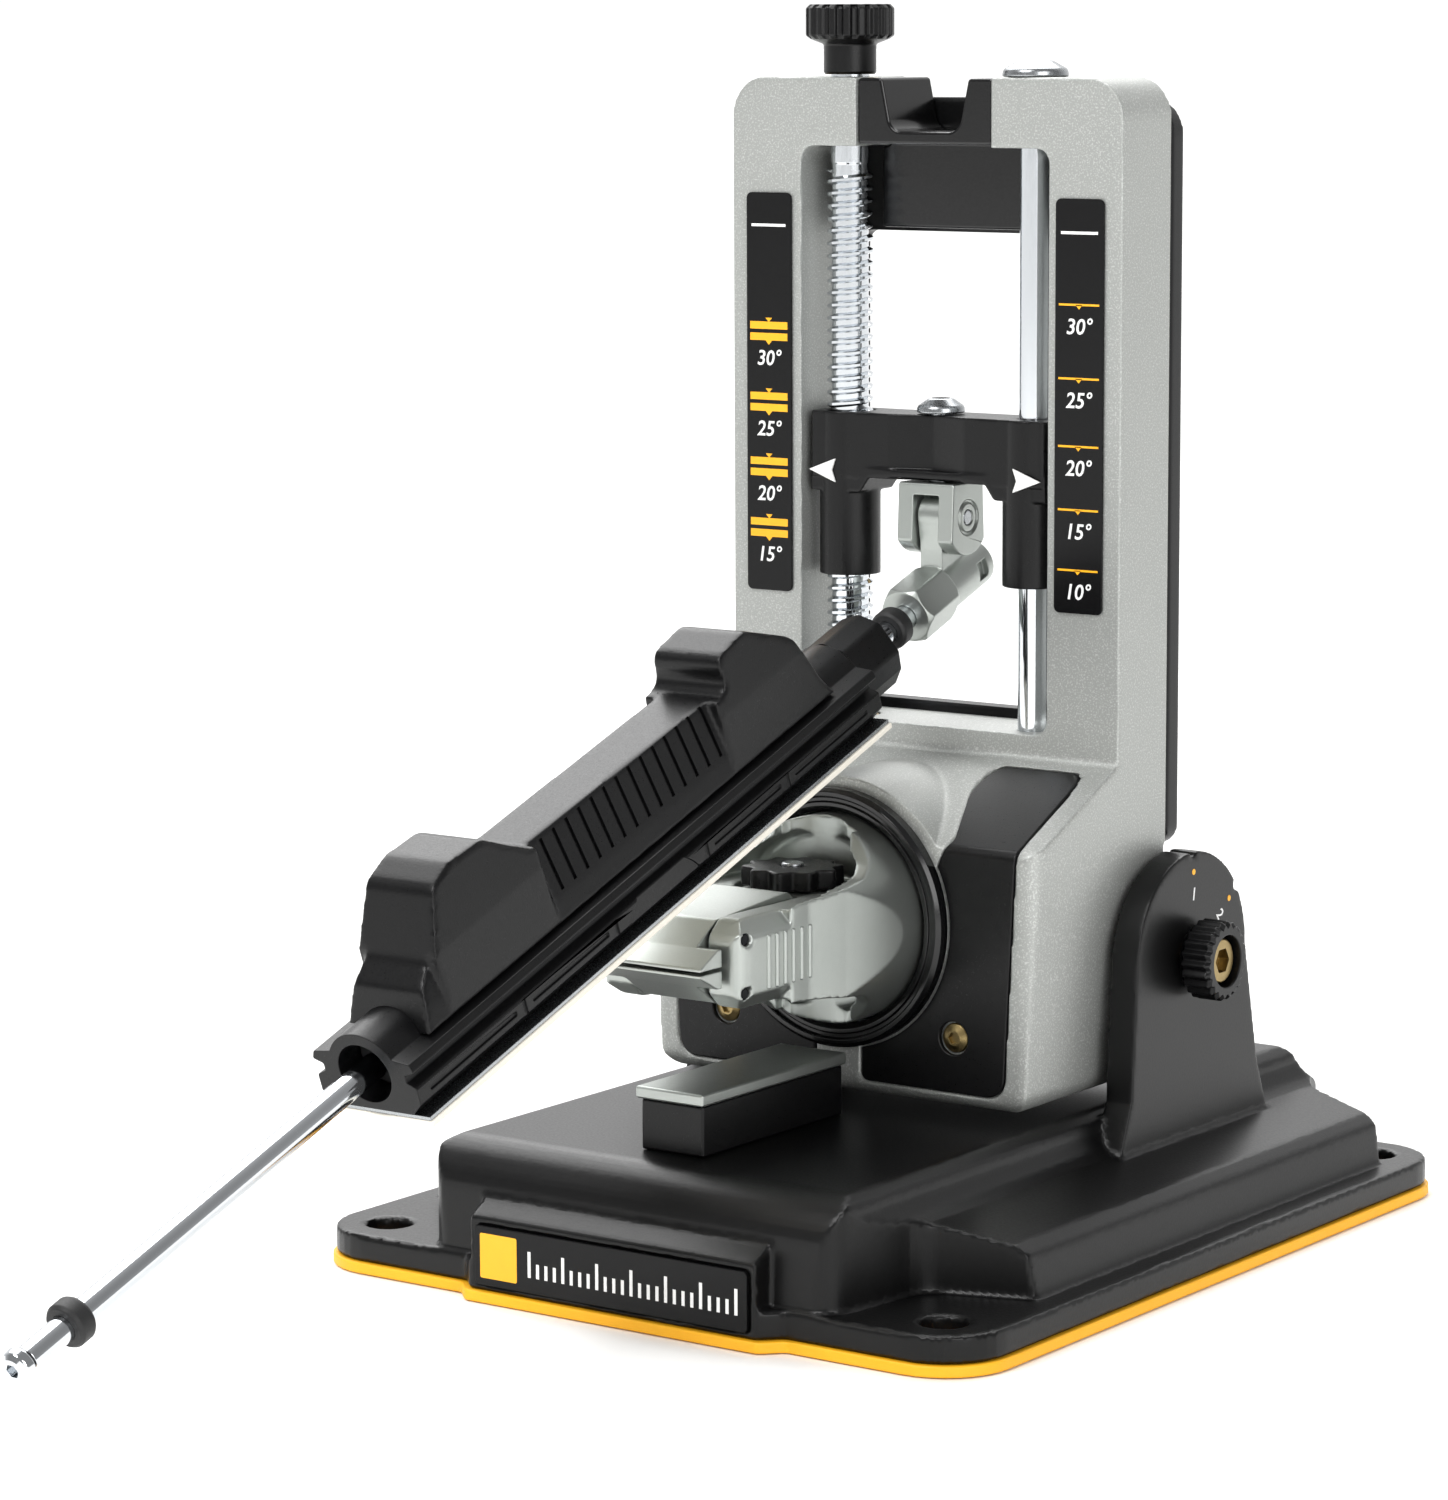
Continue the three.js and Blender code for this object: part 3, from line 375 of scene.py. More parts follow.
@dataclass(frozen=True)
class Finish:
    """A real material with its surface process, as a procedural shader.

    Colours vary between the two tones over patch_mm. Grain is the size of the
    fine texture, and relief is its height, both in millimetres. A sheen_level
    under a half dims the reflection, as a pitted skin does.
    """

    name: str
    slot: str
    tone: str
    other_tone: str
    roughness: float
    metallic: float = 0.0
    patch_mm: float = 9.0
    grain_mm: float = 0.6
    relief_mm: float = 0.01
    rough_swing: float = 0.06
    ior: float = 1.5
    sheen_level: float = 0.5
    stretch: tuple[float, float, float] = (1.0, 1.0, 1.0)
    fleck: str | None = None
    fleck_mm: float = 0.5
    fleck_share: float = 0.5

    def coordinates(self, tree: bpy.types.NodeTree) -> bpy.types.NodeSocket:
        """The piece's own coordinates in metres, stretched along the lay."""
        place = add_node(tree, "ShaderNodeTexCoord")
        if self.stretch == (1.0, 1.0, 1.0):
            return place.outputs["Object"]
        lay = add_node(tree, "ShaderNodeMapping", {"Scale": self.stretch},
                       {"Vector": place.outputs["Object"]})
        return lay.outputs["Vector"]

    def colour(self, tree: bpy.types.NodeTree, place: bpy.types.NodeSocket) -> bpy.types.NodeSocket:
        """Mixes the tones and the flecks.

        Args:
            tree: the material's node tree.
            place: the coordinates.

        Returns:
            The colour socket.
        """
        patch = add_node(tree, "ShaderNodeTexNoise", {"Scale": 1 / (self.patch_mm * MM), "Detail": 3.0},
                         {"Vector": place})
        blend = add_node(tree, "ShaderNodeMix", {"data_type": "RGBA", 6: linear(self.tone),
                                                 7: linear(self.other_tone)},
                         {0: patch.outputs["Fac"]})
        result = blend.outputs[2]
        if self.fleck:
            grain = add_node(tree, "ShaderNodeTexNoise", {"Scale": 1 / (self.fleck_mm * MM), "Detail": 1.0},
                             {"Vector": place})
            share = add_node(tree, "ShaderNodeMapRange",
                             {"From Min": 0.62 - 0.3 * self.fleck_share, "From Max": 0.70},
                             {"Value": grain.outputs["Fac"]})
            flecked = add_node(tree, "ShaderNodeMix", {"data_type": "RGBA", 7: linear(self.fleck)},
                               {0: share.outputs[0], 6: result})
            result = flecked.outputs[2]
        return result

    def material(self) -> bpy.types.Material:
        """The shader, made once and then shared.

        Returns:
            The material.
        """
        known = bpy.data.materials.get(self.name)
        if known:
            return known
        made = bpy.data.materials.new(self.name)
        made.use_nodes = True
        tree = made.node_tree
        tree.nodes.clear()
        place = self.coordinates(tree)
        grain = add_node(tree, "ShaderNodeTexNoise", {"Scale": 1 / (self.grain_mm * MM), "Detail": 2.0},
                         {"Vector": place})
        rough = add_node(tree, "ShaderNodeMapRange",
                         {"From Min": 0.25, "From Max": 0.75, "To Min": self.roughness - self.rough_swing,
                          "To Max": self.roughness + self.rough_swing}, {"Value": grain.outputs["Fac"]})
        bump = add_node(tree, "ShaderNodeBump", {"Distance": self.relief_mm * MM, "Strength": 1.0},
                        {"Height": grain.outputs["Fac"]})
        settings = {"Metallic": self.metallic}
        if self.metallic == 0:
            settings["IOR"] = self.ior
            settings["Specular IOR Level"] = self.sheen_level
        shader = add_node(tree, "ShaderNodeBsdfPrincipled", settings,
                          {"Base Color": self.colour(tree, place), "Roughness": rough.outputs[0],
                           "Normal": bump.outputs["Normal"]})
        add_node(tree, "ShaderNodeOutputMaterial", links={"Surface": shader.outputs[0]})
        return made


# Cast zinc, sprayed with silver paint: fine flecks of metal flake under a satin
# binder, so flat faces look speckled and the rounded edges catch a bright line.
SILVER_PAINT = Finish("silver paint on cast zinc", "silver_paint", "#9ea09d", "#a6a8a5", 0.46, 0.5,
                      patch_mm=30, grain_mm=0.35, relief_mm=0.011, rough_swing=0.08,
                      fleck="#c0c2bf", fleck_mm=0.35, fleck_share=0.35)
# Cast aluminium with a black powder coat: satin, with a faint orange peel.
POWDER_COAT = Finish("black powder coat on cast aluminium", "black_casting", "#070708", "#0c0c0c", 0.34,
                     patch_mm=25, grain_mm=0.5, relief_mm=0.012, rough_swing=0.05, sheen_level=0.3)
# Glass-filled nylon, moulded: dark and satin with a fine spark-eroded texture.
NYLON = Finish("moulded black nylon", "black_plastic", "#070708", "#0d0d0e", 0.34,
               patch_mm=12, grain_mm=0.35, relief_mm=0.012, rough_swing=0.08, sheen_level=0.28)
# The same nylon from a polished tool, where hands and rods slide.
SMOOTH_NYLON = Finish("smooth black nylon", "black_plastic", "#060607", "#0a0a0b", 0.2,
                      patch_mm=12, grain_mm=0.6, relief_mm=0.004, rough_swing=0.04)
# Thermoplastic rubber, moulded: saturated amber with a soft satin skin.
AMBER_RUBBER = Finish("moulded amber rubber", "amber_rubber", "#ffb40a", "#ffbd1e", 0.55,
                      patch_mm=14, grain_mm=0.5, relief_mm=0.02, ior=1.52)
# Die-cast zinc with satin nickel: a cool, slightly green grey with soft glints.
SATIN_NICKEL = Finish("satin nickel on die-cast zinc", "die_cast", "#a3a8a4", "#afb3af", 0.36, 0.9,
                      patch_mm=10, grain_mm=0.35, relief_mm=0.012, rough_swing=0.07)
# Cold-drawn steel with bright chrome: mirror reflections with faint drawing lines.
CHROME = Finish("chromed drawn steel", "polished_chrome", "#cdd1d5", "#d8dbde", 0.1, 1.0,
                patch_mm=15, grain_mm=0.4, relief_mm=0.002, rough_swing=0.03, stretch=(1.0, 0.12, 0.12))
# Zinc-plated steel, machined: bright with a fine grey grain.
ZINC_STEEL = Finish("zinc plated steel", "bright_steel", "#9a9da0", "#aeb1b3", 0.28, 1.0,
                    patch_mm=4, grain_mm=0.3, relief_mm=0.005)
# Pins with a black oxide finish: almost black, with a dull metal glint.
BLACK_OXIDE = Finish("black oxide steel", "bright_steel", "#17181a", "#202124", 0.4, 1.0,
                     patch_mm=2, grain_mm=0.25, relief_mm=0.004)
# Oiled sintered bronze, machined: a dull, warm brown metal.
BRONZE = Finish("oiled bronze", "bronze", "#8d7a52", "#a38f63", 0.32, 1.0,
                patch_mm=3, grain_mm=0.25, relief_mm=0.006)
# Nitrile rubber, moulded: almost black, with a dry matt skin.
NITRILE = Finish("moulded nitrile rubber", "black_rubber", "#0c0c0d", "#131314", 0.55,
                 patch_mm=4, grain_mm=0.3, relief_mm=0.01)
# Fine ceramic, sintered and lapped: cream, matt, with pores too fine to count,
# so they are drawn at about a third of a millimetre.
CERAMIC = Finish("lapped ceramic", "fine_ceramic", "#ece6d8", "#f3eee3", 0.6,
                 patch_mm=5, grain_mm=0.3, relief_mm=0.015, ior=1.6)
# White ABS, moulded: clean and satin.
WHITE_ABS = Finish("moulded white plastic", "white_plastic", "#f1f1ef", "#f7f7f5", 0.4,
                   patch_mm=3, grain_mm=0.4, relief_mm=0.004, ior=1.54)
# Polycarbonate label film, printed black on its back: smooth and semi-gloss.
LABEL_FILM = Finish("printed black film", "label_film", "#0a0a0b", "#0f0f10", 0.22,
                    patch_mm=10, grain_mm=0.8, relief_mm=0.002, rough_swing=0.03, sheen_level=0.2)
# Screen-printed amber ink: flat, dense and slightly matt.
AMBER_INK = Finish("amber printing ink", "label_film", "#fdb10e", "#ffb918", 0.4,
                   patch_mm=3, grain_mm=0.3, relief_mm=0.003)
# Screen-printed white ink.
WHITE_INK = Finish("white printing ink", "label_film", "#ededec", "#f4f4f3", 0.4,
                   patch_mm=3, grain_mm=0.3, relief_mm=0.003)
# Hard-wearing paper roll as the studio floor.
STUDIO_PAPER = Finish("studio paper", "", "#f3f3f2", "#f6f6f5", 0.85,
                      patch_mm=300, grain_mm=4, relief_mm=0.02)


# ------------------------------------------------------------------ finished pieces

def smooth_shading(mesh: bpy.types.Mesh, angle: float) -> None:
    """Shades a mesh smooth, apart from edges that turn by more than an angle."""
    mesh.shade_smooth()
    mesh.set_sharp_from_angle(angle=math.radians(angle))


def dress(solid: Solid, name: str, finish: Finish | None, body: str, nodes: Sequence[str] = (),
          angle: float = 35.0, slot: str = "") -> bpy.types.Object:
    """Turns a solid into a finished piece that rides on a body.

    Args:
        solid: the shape in millimetres, used up.
        name: the piece's name.
        finish: its material, or None if its mesh already has materials.
        body: the body that carries it.
        nodes: the frame nodes that it stands for.
        angle: edges sharper than this are shaded as edges.
        slot: the material slot, if it isn't the finish's own; it is not used.

    Returns:
        The piece.
    """
    piece = solid.obj
    piece.name = name
    piece.data.name = name
    weighted = piece.modifiers.new("weighted", "WEIGHTED_NORMAL")
    weighted.keep_sharp = True
    weighted.weight = 60
    smooth_shading(piece.data, angle)
    solid.apply()
    piece.data.transform(Matrix.Scale(MM, 4))
    if finish:
        piece.data.materials.clear()
        piece.data.materials.append(finish.material())
    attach(piece, body)
    slot or finish.slot
    if nodes:
        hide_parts(*nodes)
    LOG.info("%s: %d faces on %s", name, len(piece.data.polygons), body)
    return piece


# ------------------------------------------------------------------ studio

@dataclass
class Studio:
    """The floor, the lights and the camera."""

    eye: Point = (0.5427, -0.8126, 0.2422)
    azimuth: float = 35.79
    elevation: float = 8.16
    roll: float = -0.25
    lens: float = 118.6
    shift: tuple[float, float] = (0.0025, -0.0164)
    floor_half: float = 30.0
    wall_side: Point = (-0.585, 0.811, 0.0)
    ceiling_side: Point = (-0.42, 0.40, 0.81)

    def build(self) -> None:
        """Makes the whole studio."""
        self.floor()
        self.camera()
        self.sky()
        self.ceiling()
        self.lamp("key", (-0.3, -1.5, 1.7), 1.0, 30.0)
        self.lamp("fill", (1.5, -0.9, 0.7), 1.0, 14.0)

    def floor(self) -> None:
        """A large, pale sheet of paper."""
        form = bmesh.new()
        half = self.floor_half
        corners = ((-half, -half), (half, -half), (half, half), (-half, half))
        ring = [form.verts.new((x, y, -0.0002)) for x, y in corners]
        form.faces.new(ring)
        mesh = bpy.data.meshes.new("floor")
        form.to_mesh(mesh)
        form.free()
        sheet = bpy.data.objects.new("floor", mesh)
        bpy.context.scene.collection.objects.link(sheet)
        mesh.materials.append(STUDIO_PAPER.material())

    def camera(self) -> None:
        """The camera at the object's usual three-quarter view."""
        az = math.radians(self.azimuth)
        el = math.radians(self.elevation)
        forward = Vector((-math.sin(az) * math.cos(el), math.cos(az) * math.cos(el), -math.sin(el)))
        turn = forward.to_track_quat("-Z", "Y") @ Quaternion((0, 0, 1), math.radians(self.roll))
        data = bpy.data.cameras.new("camera")
        data.lens = self.lens
        data.sensor_width = 36.0
        data.shift_x, data.shift_y = self.shift
        data.clip_end = 100.0
        eye = bpy.data.objects.new("camera", data)
        eye.location = self.eye
        eye.rotation_euler = turn.to_euler()
        bpy.context.scene.collection.objects.link(eye)
        bpy.context.scene.camera = eye

    def sky(self) -> None:
        """A white wall behind the object that fades to a darker room in front."""
        world = bpy.data.worlds.new("studio")
        world.use_nodes = True
        tree = world.node_tree
        away = add_node(tree, "ShaderNodeTexCoord")
        wall = add_node(tree, "ShaderNodeVectorMath", {"operation": "DOT_PRODUCT", 1: self.wall_side},
                        {0: away.outputs["Generated"]})
        fade = add_node(tree, "ShaderNodeMapRange",
                        {"From Min": -0.1, "From Max": 0.7, "To Min": 0.3, "To Max": 1.05},
                        {"Value": wall.outputs["Value"]})
        tree.links.new(fade.outputs[0], tree.nodes["Background"].inputs["Strength"])
        tree.nodes["Background"].inputs["Color"].default_value = (1, 1, 1, 1)
        bpy.context.scene.world = world
        bpy.context.scene.view_settings.view_transform = "Standard"

    def ceiling(self) -> None:
        """A huge soft light overhead and behind, which keeps the paper evenly white."""
        data = bpy.data.lights.new("ceiling", "SUN")
        data.energy = 3.0
        data.angle = math.radians(60)
        lamp = bpy.data.objects.new("ceiling", data)
        lamp.rotation_euler = (-Vector(self.ceiling_side)).to_track_quat("-Z", "Y").to_euler()
        bpy.context.scene.collection.objects.link(lamp)

    def lamp(self, name: str, place: Point, size: float, power: float) -> None:
        """A soft square lamp that points at the object.

        Args:
            name: the lamp's name.
            place: where it stands, in metres.
            size: the side of the square, in metres.
            power: its power in watts.
        """
        data = bpy.data.lights.new(name, "AREA")
        data.size = size
        data.energy = power
        lamp = bpy.data.objects.new(name, data)
        lamp.location = place
        aim = Vector((0, 0, 0.1)) - Vector(place)
        lamp.rotation_euler = aim.to_track_quat("-Z", "Y").to_euler()
        bpy.context.scene.collection.objects.link(lamp)


def lettering(words: str, height: float, thickness: float) -> Solid:
    """Numerals as a thin solid, centred, lying in the x-y plane and facing +Z.

    Args:
        words: the characters.
        height: the size of the type.
        thickness: how thick the solid is.

    Returns:
        The solid.
    """
    curve = bpy.data.curves.new("type", "FONT")
    curve.body = words
    curve.size = height
    curve.align_x = "CENTER"
    curve.align_y = "CENTER"
    curve.extrude = thickness / 2
    curve.shear = 0.15
    curve.offset = 0.012 * height
    curve.resolution_u = 3
    holder = bpy.data.objects.new("type", curve)
    bpy.context.scene.collection.objects.link(holder)
    graph = bpy.context.evaluated_depsgraph_get()
    mesh = bpy.data.meshes.new_from_object(holder.evaluated_get(graph))
    form = bmesh.new()
    form.from_mesh(mesh)
    bmesh.ops.remove_doubles(form, verts=form.verts, dist=1e-4)
    bpy.data.objects.remove(holder)
    bpy.data.curves.remove(curve)
    bpy.data.meshes.remove(mesh)
    return Solid(form)


FACING_FRONT = Matrix.Rotation(math.pi / 2, 4, "X")
FACING_RIGHT = Matrix(((0, 0, 1, 0), (1, 0, 0, 0), (0, 1, 0, 0), (0, 0, 0, 1)))


def printed(solids: Sequence[tuple[Solid, Finish]], name: str, body: str,
            nodes: Sequence[str]) -> bpy.types.Object:
    """Makes one piece from a plate and the inks printed on it.

    Args:
        solids: the plate first, then each printed solid, with their finishes.
        name: the piece's name.
        body: the body that carries it.
        nodes: the frame nodes that it stands for.

    Returns:
        The piece.
    """
    finishes = list(dict.fromkeys(finish for _, finish in solids))
    form = bmesh.new()
    for solid, finish in solids:
        start = len(form.faces)
        form.from_mesh(solid.obj.data)
        form.faces.ensure_lookup_table()
        for face in form.faces[start:]:
            face.material_index = finishes.index(finish)
        solid.discard()
    whole = Solid(form)
    for finish in finishes:
        whole.obj.data.materials.append(finish.material())
    return dress(whole, name, None, body, nodes, slot=finishes[0].slot)


def button_screw(axis: Axis, shank: float, length: float, head: float, height: float, at: Point,
                 sense: int = 1, sides: int = 6) -> Solid:
    """A button-head screw with a hexagon socket.

    Args:
        axis: the screw's axis.
        shank: the shank's radius.
        length: the shank's length.
        head: the head's radius.
        height: the head's height.
        at: the middle of the head's underside.
        sense: 1 if the head points along the axis, -1 if against it.
        sides: sides of the socket.

    Returns:
        The screw.
    """
    profile = [
        (0, -length), (shank, -length, shank * 0.2), (shank, 0), (head, 0, height * 0.12),
        (head * 0.97, height * 0.45, height * 0.4), (head * 0.5, height, height * 0.5), (0, height),
    ]
    body = turned(axis, [(c[0], c[1] * sense, *c[2:]) for c in profile], at)
    low, high = sorted((height * 0.3 * sense, height * 1.4 * sense))
    socket = turned(axis, [(0, low), (head * 0.4, low), (head * 0.4, high), (0, high)], at, sides)
    return body.cut(socket).soften(min(0.12, height * 0.05), 2)


# ------------------------------------------------------------------ base

@dataclass
class Base:
    """The bench base: pad, casting with its ears, badge, table and lock knob."""

    half_width: float = 77.5
    half_length: float = 93.0
    corner: float = 14.0
    boss_half: float = 34.2
    boss_reach: float = 3.8
    pad_top: float = 2.2
    flange_top: float = 7.7
    deck_top: float = 29.0
    hole_x: float = 65.1
    hole_y: float = 81.4
    hole_radius: float = 4.6
    ear_inner: float = 47.3
    ear_outer: float = 53.5
    ear_radius: float = 21.2
    pivot_y: float = 26.4
    pivot_z: float = 56.6
    lean: float = 55.0

    def outline(self, inset: float) -> list[Corner]:
        """The plan of the pad, set in by a margin."""
        w = self.half_width - inset
        l = self.half_length - inset
        b = self.boss_half - inset
        r = self.corner - inset
        front = -l - self.boss_reach
        return [
            (-w, -l, r), (-b - 3.8, -l, 2), (-b, front, 2), (b, front, 2), (b + 3.8, -l, 2),
            (w, -l, r), (w, l, r), (-w, l, r),
        ]

    def holes(self, low: float, high: float, radius: float) -> list[Solid]:
        """Cutters for the four bench holes."""
        return [cylinder(Axis.Z, radius, low, high, (sx * self.hole_x, sy * self.hole_y, 0))
                for sx in (-1, 1) for sy in (-1, 1)]

    def pad(self) -> None:
        """The amber pad, with fine parallel grip grooves underneath."""
        pad = prism(Axis.Z, self.outline(0), 0, self.pad_top)
        pad.cut(*self.holes(-1, 4, self.hole_radius))
        grooves = [box(x - 0.6, x + 0.6, -84, 84, -1, 0.5) for x in range(-48, 49, 12)]
        pad.cut(*grooves).soften(0.45, 3)
        dress(pad, "amber_pad", AMBER_RUBBER, "base", ["base_pad"])

    def deck(self) -> Solid:
        """The raised deck: its section, plan and side outline, met together."""
        top = self.deck_top
        side = [
            (44.9, top, 1.6), (47.6, 27.2, 0.6), (48, 24.6, 1.2), (49.3, 22.3, 1.5), (51.6, 20.9, 1.5),
            (54.4, 20.3, 2), (66.5, 17.8, 1.2), (69.4, 16, 1.2), (71.4, 5),
        ]
        section = prism(Axis.Y, mirrored(side) + side, -92, 92)
        near = [(47, -91.4, 6), (50.5, -66, 8), (72, -59, 4)]
        far = [(71.8, 74, 4), (50.5, 79, 7), (47, 91, 5)]
        plan = prism(Axis.Z, mirrored(near) + near + far + mirrored(far), 4, 40)
        profile = prism(Axis.X, [
            (-91.4, 5), (-90.6, top, 9.5), (77.5, top, 3), (82, 22.5, 3), (88, 20, 3), (91, 5),
        ], -80, 80, 12)
        return section.meet(plan).meet(profile)

    def ear(self, sense: int) -> Solid:
        """One pivot ear, flared into the deck.

        Args:
            sense: 1 for the right side, -1 for the left.

        Returns:
            The ear.
        """
        y, z, r = self.pivot_y, self.pivot_z, self.ear_radius
        arc = [(y + r * math.cos(a), z + r * math.sin(a))
               for a in (math.pi * (1 - k / 40) for k in range(41))]
        side = [(-2.5, 16), (3.4, 31, 3), *arc, (50.2, 44), (53, 31, 3), (59, 16)]
        low, high = sorted((sense * self.ear_inner, sense * self.ear_outer))
        ear = prism(Axis.X, side, low, high)
        cuts = [cylinder(Axis.X, 1.1, -60, 60, (0, *self.around(angle, r))) for angle in (0, self.lean)]
        return ear.cut(*cuts)

    def around(self, angle: float, reach: float) -> tuple[float, float]:
        """The (y, z) place at an angle back from the top of the pivot."""
        turn = math.radians(angle)
        return self.pivot_y + reach * math.sin(turn), self.pivot_z + reach * math.cos(turn)

    def casting(self) -> None:
        """The black casting, rounded everywhere as a cast and coated part is."""
        gap = 0.05
        low = self.pad_top + gap
        flange = prism(Axis.Z, self.outline(0.7), low, self.flange_top)
        boss = prism(Axis.X, [
            (-96.1, low), (-96.1, 16.4, 1.5), (-90, 20, 1), (-84, 20), (-84, low),
        ], -33.4, 33.4)
        whole = self.deck().add(flange, boss, self.ear(1), self.ear(-1))
        whole.cut(box(-32, 32, -97, -95, 3.3, 15.3),
                  cylinder(Axis.X, 4.6, -60, 60, (0, self.pivot_y, self.pivot_z)),
                  *self.holes(0, 30, self.hole_radius))
        whole.melt(0.55, 5, 0.28)
        dress(whole, "base_body", POWDER_COAT, "base", ["base_casting"], angle=60)

    def badge(self) -> None:
        """A plain plate with an amber tab and white ticks in place of a name."""
        plate = prism(Axis.Y, [
            (-31.8, 3.5, 1), (31.8, 3.5, 1), (31.8, 15.1, 1), (-31.8, 15.1, 1),
        ], -96.5, -95.05).soften(0.2, 2)
        face = -96.5
        tab = prism(Axis.Y, [(-30.4, 5, 0.4), (-21.6, 5, 0.4), (-21.6, 13.7, 0.4), (-30.4, 13.7, 0.4)],
                    face - 0.04, face + 0.1)
        marks = [(plate, LABEL_FILM), (tab, AMBER_INK)]
        for k in range(25):
            x = -18.6 + k * 2.0
            high = 11.6 if k % 4 == 0 else 9.4
            tick = box(x - 0.35, x + 0.35, face - 0.04, face + 0.1, 6.6, high)
            marks.append((tick, WHITE_INK))
        printed(marks, "front_badge", "base", ["badge_plate"])

    def ear_marks(self) -> None:
        """Position numbers and dots on the right ear."""
        marks = []
        face = self.ear_outer + 0.02
        for number, angle in (("1", 0.0), ("2", self.lean)):
            spin = Matrix.Rotation(-math.radians(angle), 4, "X")
            y, z = self.around(angle, 12.6)
            numeral = lettering(number, 3.6, 0.08)
            numeral.move(Matrix.Translation((face, y, z)) @ spin @ FACING_RIGHT)
            y, z = self.around(angle, 17.2)
            dot = cylinder(Axis.X, 0.6, face - 0.04, face + 0.04, (0, y, z), 24)
            marks += [(numeral, WHITE_INK), (dot, AMBER_INK)]
        printed(marks, "ear_numbers", "base", [])

    def table(self) -> None:
        """The small table in front of the clamp: a block and its metal rest."""
        low, high = node_box("table_block")
        block = box(low.x, high.x, low.y, high.y, low.z, high.z).soften(0.6, 3)
        dress(block, "table_foot", NYLON, "base", ["table_block"])
        low, high = node_box("table_rest")
        rest = box(low.x, high.x, low.y, high.y, low.z, high.z).soften(0.5, 3)
        dress(rest, "table_plate", SATIN_NICKEL, "base", ["table_rest"])

    def pivot(self) -> None:
        """Bushes, bolts and the hollow lock knob."""
        at = (0.0, self.pivot_y, self.pivot_z)
        for side in ("right", "left"):
            low, high = node_box("ear_bush_" + side)
            bush = turned(Axis.X, [(3.1, low.x), (4.5, low.x), (4.5, high.x), (3.1, high.x)], at)
            dress(bush, "bush_" + side, BRONZE, "base", ["ear_bush_" + side])
        bolt = turned(Axis.X, [
            (0, 39), (3, 39, 0.4), (3, 57.3), (4.5, 57.3), (4.5, 60.3, 0.5), (0, 60.3),
        ], at)
        socket = turned(Axis.X, [(0, 58), (2.6, 58), (2.6, 62), (0, 62)], at, 6)
        dress(bolt.cut(socket).soften(0.15, 2), "lock_bolt", BRONZE, "base", ["pivot_bolt_right"])
        left = button_screw(Axis.X, 3, 14.8, 6.6, 3.4, (-53.8, self.pivot_y, self.pivot_z), -1)
        dress(left, "left_bolt", ZINC_STEEL, "base", ["pivot_bolt_left"])

        def knurl(radius: float, height: float, angle: float) -> float:
            """Flutes round the knob's grip."""
            lobes = 0.35 * (math.cos(22 * angle) - 1)
            return radius + (lobes if radius > 7.1 else 0)

        knob = turned(Axis.X, [
            (3.3, 54.1), (6.4, 54.1, 0.3), (7.1, 55.0, 0.3), (8, 55.4, 0.4), (8, 60.7, 0.4), (7.3, 61.5, 0.3),
            (5.2, 61.5, 0.3), (5.2, 57), (3.3, 57),
        ], at, 264, knurl)
        dress(knob, "lock_knob_grip", NYLON, "lock_knob", ["lock_knob"])

    def build(self) -> None:
        """Makes every piece of the base."""
        self.pad()
        self.casting()
        self.badge()
        self.ear_marks()
        self.table()
        self.pivot()


# ------------------------------------------------------------------ tower

